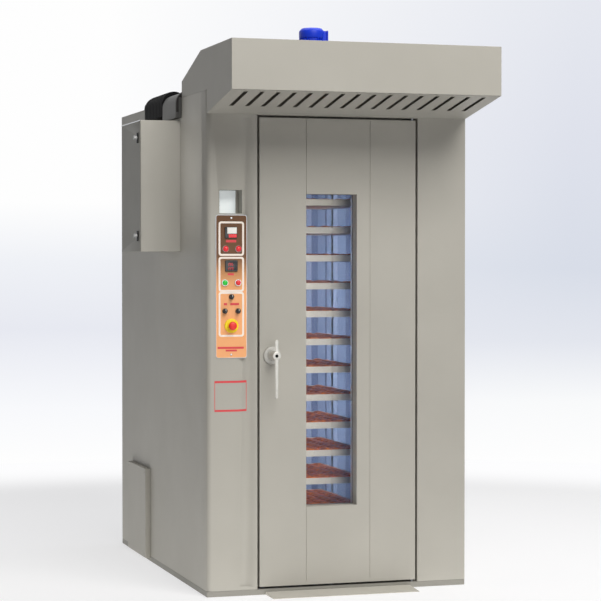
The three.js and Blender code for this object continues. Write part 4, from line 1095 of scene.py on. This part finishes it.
def geared_motor():
    """Worm gearbox, upright finned motor with its fan cowl, and the terminal box."""
    x, y = 113.3, 742.9
    bm = bmesh.new()
    add_rounded_block(bm, (x - 55, y - 55, 2186), (x + 55, y + 55, 2276), 9)
    add_turned(bm, (
        (0, 2270), (59, 2270), (59, 2290), (57, 2292), (52.5, 2294), (52.5, 2440), (57, 2442),
        (59, 2445), (59, 2472), (58, 2476), (47, 2487.6), (43, 2489), (0, 2489),
    ), (x, y, 0), "+Z", 40)
    add_rounded_block(bm, (x + 36, y - 37, 2381), (x + 63, y + 37, 2476), 5)
    add_rounded_block(bm, (x + 62, y - 39, 2379), (x + 69, y + 39, 2478), 2.5)
    place_piece("geared_motor_body", bm, BLUE_ENAMEL, "casing", ["geared_motor"])
    mesh = apply_group(FINS, {
        "Count": 28, "Radius": mm(54.5), "Centre": point(x, y, 2367),
        "Size": (mm(8), mm(2), mm(148)), "Material": BLUE_ENAMEL,
    }, "geared_motor_fins")
    place_mesh("geared_motor_fins", mesh, "casing")


def fan_motor():
    """The upright motor of the air fan, on its flange behind the hood."""
    x, y = 0, 1360
    bm = bmesh.new()
    add_turned(bm, (
        (0, 2129.3), (88.6, 2129.3), (90, 2130.7), (90, 2141.6), (88.6, 2143), (70, 2143),
        (70, 2158), (64, 2161), (64, 2286), (68, 2288), (70, 2291), (70, 2324), (67, 2333),
        (59, 2338), (48, 2339), (0, 2339),
    ), (x, y, 0), "+Z", 44)
    place_piece("fan_motor_body", bm, BLUE_ENAMEL, "casing", ["fan_motor"])
    mesh = apply_group(FINS, {
        "Count": 32, "Radius": mm(65.4), "Centre": point(x, y, 2223),
        "Size": (mm(8.4), mm(2.2), mm(126)), "Material": BLUE_ENAMEL,
    }, "fan_motor_fins")
    place_mesh("fan_motor_fins", mesh, "casing")
    bm = bmesh.new()
    for i in range(6):
        turn = math.radians(30 + 60 * i)
        add_turned(bm, HEX, (x + 80 * math.cos(turn), y + 80 * math.sin(turn), 2143), "+Z", 6)
    place_piece("fan_motor_bolts", bm, BOLT_STEEL, "casing")


def burner():
    """The burner's ribbed black cover, and the lug, gasket and bolts of its flange. The gasket's
    black also stands in as painted shade on the flange's front.
    """
    centre, foot, spring, half = -545, 2067, 2123, 58
    lower = 19  # the flange's arch is this much lower than the cover's

    def vault(inset, low):
        """The cover's outline: two upright sides under a round top."""
        half_in = half - inset
        feet = [(centre - half_in, low), (centre + half_in, low)]
        return feet + arc(centre, spring, half_in, range(0, 181, 10))

    bm = bmesh.new()
    add_slab(bm, vault(1.2, foot), 718.3, 1087, back=10)
    for i in range(11):
        y = 742 + i * 30
        add_slab(bm, vault(0, foot), y, y + 9, front=1.5, back=1.5)
    place_piece("burner_hood", bm, MATT_BLACK, "casing", ["burner_cover"])
    # a black silicone gasket whose dark front is also painted shade for the flange's front behind
    # the hood
    bm = bmesh.new()
    add_slab(bm, [(x, z - lower) for x, z in vault(0, foot + lower)], 441.5, 445.9)
    place_piece("burner_gasket", bm, SILICONE, "casing")
    bm = bmesh.new()
    add_block(bm, (-593, 438.3, 2042), (-580.3, 441.2, 2131))
    place_piece("burner_lug", bm, BURNER_GREY, "casing")
    bm = bmesh.new()
    for dx in (-46, 46):
        for z in (2080, 2124):
            add_turned(bm, HEX, (centre + dx, 463, z), "+Y", 6)
    place_piece("burner_bolts", bm, BOLT_STEEL, "casing")


def cabinet_fittings():
    """The cabinet door's quarter-turn latches: a black wing round a light barrel."""
    for name, z, body in (("lower", 1523.5, "lower_latch"), ("upper", 1953.5, "upper_latch")):
        bm = bmesh.new()
        wing = rounded_outline(496, 510, z - 23, z + 23, 6, 5)
        outer, _ = add_prism(bm, wing, -768, -761.3, axis="X")
        round_edges(bm, rim_edges(bm, outer), mm(2), 3)
        add_turned(bm, ((0, 762), (5, 762), (5, 749.3), (0, 749.3)), (0, 503, z), "-X", 20)
        add_block(bm, (-754.3, 497, z - 6), (-749.3, 509, z + 23))
        place_piece(f"latch_{name}_wing", bm, BLACK_PLASTIC, body,
                    [f"cabinet_latch_{name}"])
        bm = bmesh.new()
        add_turned(bm, (
            (0, 780), (4, 780), (4.4, 781.6), (5.2, 782), (8.4, 782), (10, 780.4), (10, 767),
            (0, 767),
        ), (0, 503, z), "-X", 24)
        place_piece(f"latch_{name}_barrel", bm, DIE_CAST_ZINC, body)


def panel_screws():
    """Screws at the corners of the lower cover, and the cabinet's rain lip."""
    bm = bmesh.new()
    for y in (1085, 1432):
        for z in (34, 418):
            add_screw(bm, (-605, y, z), "-X", 0.8)
    place_piece("cover_screws", bm, ENAMEL, "casing")
    bm = bmesh.new()
    add_prism(bm, [(-757.2, 464), (-762.5, 464), (-762.5, 847), (-757.2, 847)], 2026, 2029.5)
    place_piece("cabinet_lip", bm, STAINLESS, "casing")


for build in (geared_motor, fan_motor, burner, cabinet_fittings, panel_screws):
    build()

# ------------------------------------------------------------- studio and light
FLOOR_RADIUS = 5.2  # metres; the floor ends here
FLOOR_SOLID, FLOOR_FADED = 3.4, 5.0  # its shadow shows in full to here, and fades to here
FLOOR_GLOW = 0.45  # share of plain white in what the camera sees of it
FLOOR_WHITE = 1.4  # how bright that white is where the floor shows its shadow
GLOW_EVEN, GLOW_END = 1.1, 2.1  # radii of the lit round that lights the oven from below
GLOW_STRENGTH = 0.78
GLOW_MIDDLE = (-0.45, 0.2, 0)


def background_rays(tree):
    """1 for a ray that looks at the background: from the camera, a gloss or glass."""
    paths = add_node(tree, "ShaderNodeLightPath").outputs
    seen = add_node(tree, "ShaderNodeMath", {
        0: paths["Is Camera Ray"], 1: paths["Is Glossy Ray"],
    }, operation="MAXIMUM")
    return add_node(tree, "ShaderNodeMath", {
        0: seen.outputs["Value"], 1: paths["Is Transmission Ray"],
    }, operation="MAXIMUM").outputs["Value"]


def studio_floor():
    """A round matt white floor with a lit round in its middle. The camera sees it part
    lit and part plain white, which leaves a soft shadow, and its rim fades into the
    white behind."""
    material, tree, place = start_material("studio_floor")
    lit = add_node(tree, "ShaderNodeBsdfPrincipled", {
        "Base Color": linear("#e4e4e6"), "Roughness": 0.8, "Specular IOR Level": 0.1,
    })
    reach = add_node(tree, "ShaderNodeVectorMath", {0: place}, operation="LENGTH").outputs["Value"]
    aside = add_node(tree, "ShaderNodeVectorMath", {
        0: place, 1: GLOW_MIDDLE,
    }, operation="DISTANCE").outputs["Value"]

    def fade(distance, start, end, inside, outside):
        """Goes softly from one value to the other between two distances."""
        return add_node(tree, "ShaderNodeMapRange", {
            "Value": distance, "From Min": start, "From Max": end, "To Min": inside,
            "To Max": outside,
        }, interpolation_type="SMOOTHSTEP").outputs["Result"]

    white = add_node(tree, "ShaderNodeEmission", {
        "Color": linear("#fdfdfe"),
        "Strength": fade(reach, FLOOR_SOLID, FLOOR_FADED, FLOOR_WHITE, 1.0),
    })
    seen = add_node(tree, "ShaderNodeMixShader", {
        0: fade(reach, FLOOR_SOLID, FLOOR_FADED, FLOOR_GLOW, 1.0), 1: lit.outputs["BSDF"],
        2: white.outputs["Emission"],
    })
    glow = add_node(tree, "ShaderNodeEmission", {
        "Color": linear("#fffefa"),
        "Strength": fade(aside, GLOW_EVEN, GLOW_END, GLOW_STRENGTH, 0.0),
    })
    lighting = add_node(tree, "ShaderNodeAddShader", {
        0: lit.outputs["BSDF"], 1: glow.outputs["Emission"],
    })
    mixed = add_node(tree, "ShaderNodeMixShader", {
        0: background_rays(tree), 1: lighting.outputs["Shader"], 2: seen.outputs["Shader"],
    })
    add_node(tree, "ShaderNodeOutputMaterial", {"Surface": mixed.outputs["Shader"]})
    bm = bmesh.new()
    bmesh.ops.create_circle(bm, cap_ends=True, segments=96, radius=FLOOR_RADIUS)
    mesh = bpy.data.meshes.new("studio_floor")
    bm.to_mesh(mesh)
    bm.free()
    mesh.materials.append(material)
    floor = bpy.data.objects.new("studio_floor", mesh)
    scene.collection.objects.link(floor)


LAMPS = (
    # name, place, aim, size in metres, watts, colour
    ("front_sky", (1.0, -5.8, 6.4), (0.0, -0.6, 1.1), (5.0, 4.0), 480, "#fffdf8"),
    ("front_low", (1.0, -8.5, 1.6), (0.0, -0.6, 0.9), (4.0, 2.0), 45, "#ffffff"),
    ("top_soft", (0.6, 1.0, 5.4), (0.0, 0.3, 0.0), (3.4, 3.4), 90, "#ffffff"),
    ("chamber_left", (-0.43, 0.22, 1.05), (0.3, 0.42, 1.05), (0.05, 1.6), 16, "#ffffff"),
    ("chamber_right", (0.44, 0.05, 1.05), (0.2, 0.42, 1.05), (0.05, 1.6), 6, "#ffffff"),
    ("window_light", (-0.6, -7.5, 1.3), (0.0, -0.3, 1.05), (2.2, 1.0), 430, "#fffcf4"),
    ("left_high", (-3.2, -3.0, 5.8), (-0.6, 0.1, 1.5), (1.6, 1.6), 105, "#ffffff"),
    ("wall_beam", (-3.5, -0.45, 1.8), (-0.58, -0.36, 1.8), (0.15, 0.15), 0.22, "#ffffff"),
)
BEAM = 16  # degrees that the narrow lamp spreads over
MIRRORED = ("front_sky", "front_low", "top_soft")  # lamps that a gloss shows
LIT_ONLY = {  # lamps that light only the pieces whose names start so
    "window_light": ("tray_", "rolls_", "glaze_"),
    "left_high": ("cabinet_box_skin", "cabinet_lip"),
    "wall_beam": ("left_side_panel_skin",),
}


def studio_lamps():
    """Large soft lamps in front and above, the oven's own lamps beside its door, and
    three that light only some pieces."""
    for name, place, aim, size, watts, colour in LAMPS:
        lamp = bpy.data.lights.new(name, "AREA")
        lamp.shape = "RECTANGLE"
        lamp.size, lamp.size_y = size
        lamp.energy = watts
        lamp.spread = math.radians(BEAM if name == "wall_beam" else 180)
        lamp.color = linear(colour)[:3]
        holder = bpy.data.objects.new(name, lamp)
        holder.location = place
        holder.rotation_euler = (Vector(aim) - Vector(place)).to_track_quat("-Z", "Y").to_euler()
        holder.visible_glossy = name in MIRRORED
        holder.visible_camera = False
        scene.collection.objects.link(holder)
        if name in LIT_ONLY:
            group = bpy.data.collections.new(f"{name}_receivers")
            for piece in scene.objects:
                if piece.type == "MESH" and piece.name.startswith(LIT_ONLY[name]):
                    group.objects.link(piece)
            holder.light_linking.receiver_collection = group


AMBIENT = 0.07  # what the world adds all round
BAND_FOOT, BAND_TOP = -0.1, 0.2  # rise of a ray, for the ramps of the band behind the object
BAND_LEFT, BAND_RIGHT = 0.2, 0.42  # a ray's way to the right, where the band changes over


def studio_world():
    """White behind the object, with a faint blue-grey band at the height of the eye that
    is deeper to the right, and a plain grey for the light from all round."""
    world = bpy.data.worlds.new("studio_world")
    scene.world = world
    world.use_nodes = True
    tree = world.node_tree
    tree.nodes.clear()
    ray = add_node(tree, "ShaderNodeTexCoord").outputs["Generated"]
    parts = add_node(tree, "ShaderNodeSeparateXYZ", {"Vector": ray}).outputs
    height = add_node(tree, "ShaderNodeMapRange", {
        "Value": parts["Z"], "From Min": BAND_FOOT, "From Max": BAND_TOP,
    }).outputs["Result"]
    left = add_node(tree, "ShaderNodeValToRGB", {"Fac": height})
    set_ramp(left, [(0.0, "#fefefe"), (0.09, "#f8f9fc"), (0.22, "#e7e9f1"), (0.33, "#eff1f6"),
                    (0.43, "#fefefe"), (1.0, "#fefefe")])
    right = add_node(tree, "ShaderNodeValToRGB", {"Fac": height})
    set_ramp(right, [(0.0, "#fefefe"), (0.1, "#f9fafb"), (0.2, "#e3e6ee"), (0.32, "#d8dde8"),
                     (0.55, "#dfe2ec"), (1.0, "#eceef3")])
    across = add_node(tree, "ShaderNodeMapRange", {
        "Value": parts["X"], "From Min": BAND_LEFT, "From Max": BAND_RIGHT,
    })
    wall = add_node(tree, "ShaderNodeMix", {
        0: across.outputs["Result"], 6: left.outputs["Color"], 7: right.outputs["Color"],
    }, data_type="RGBA")
    shown = add_node(tree, "ShaderNodeBackground", {"Color": wall.outputs[2], "Strength": 1.0})
    ambient = add_node(tree, "ShaderNodeBackground", {
        "Color": linear("#e8e9ec"), "Strength": AMBIENT,
    })
    mixed = add_node(tree, "ShaderNodeMixShader", {
        0: background_rays(tree), 1: ambient.outputs["Background"], 2: shown.outputs["Background"],
    })
    add_node(tree, "ShaderNodeOutputWorld", {"Surface": mixed.outputs["Shader"]})


studio_floor()
studio_lamps()
studio_world()
scene.view_settings.view_transform = "Standard"
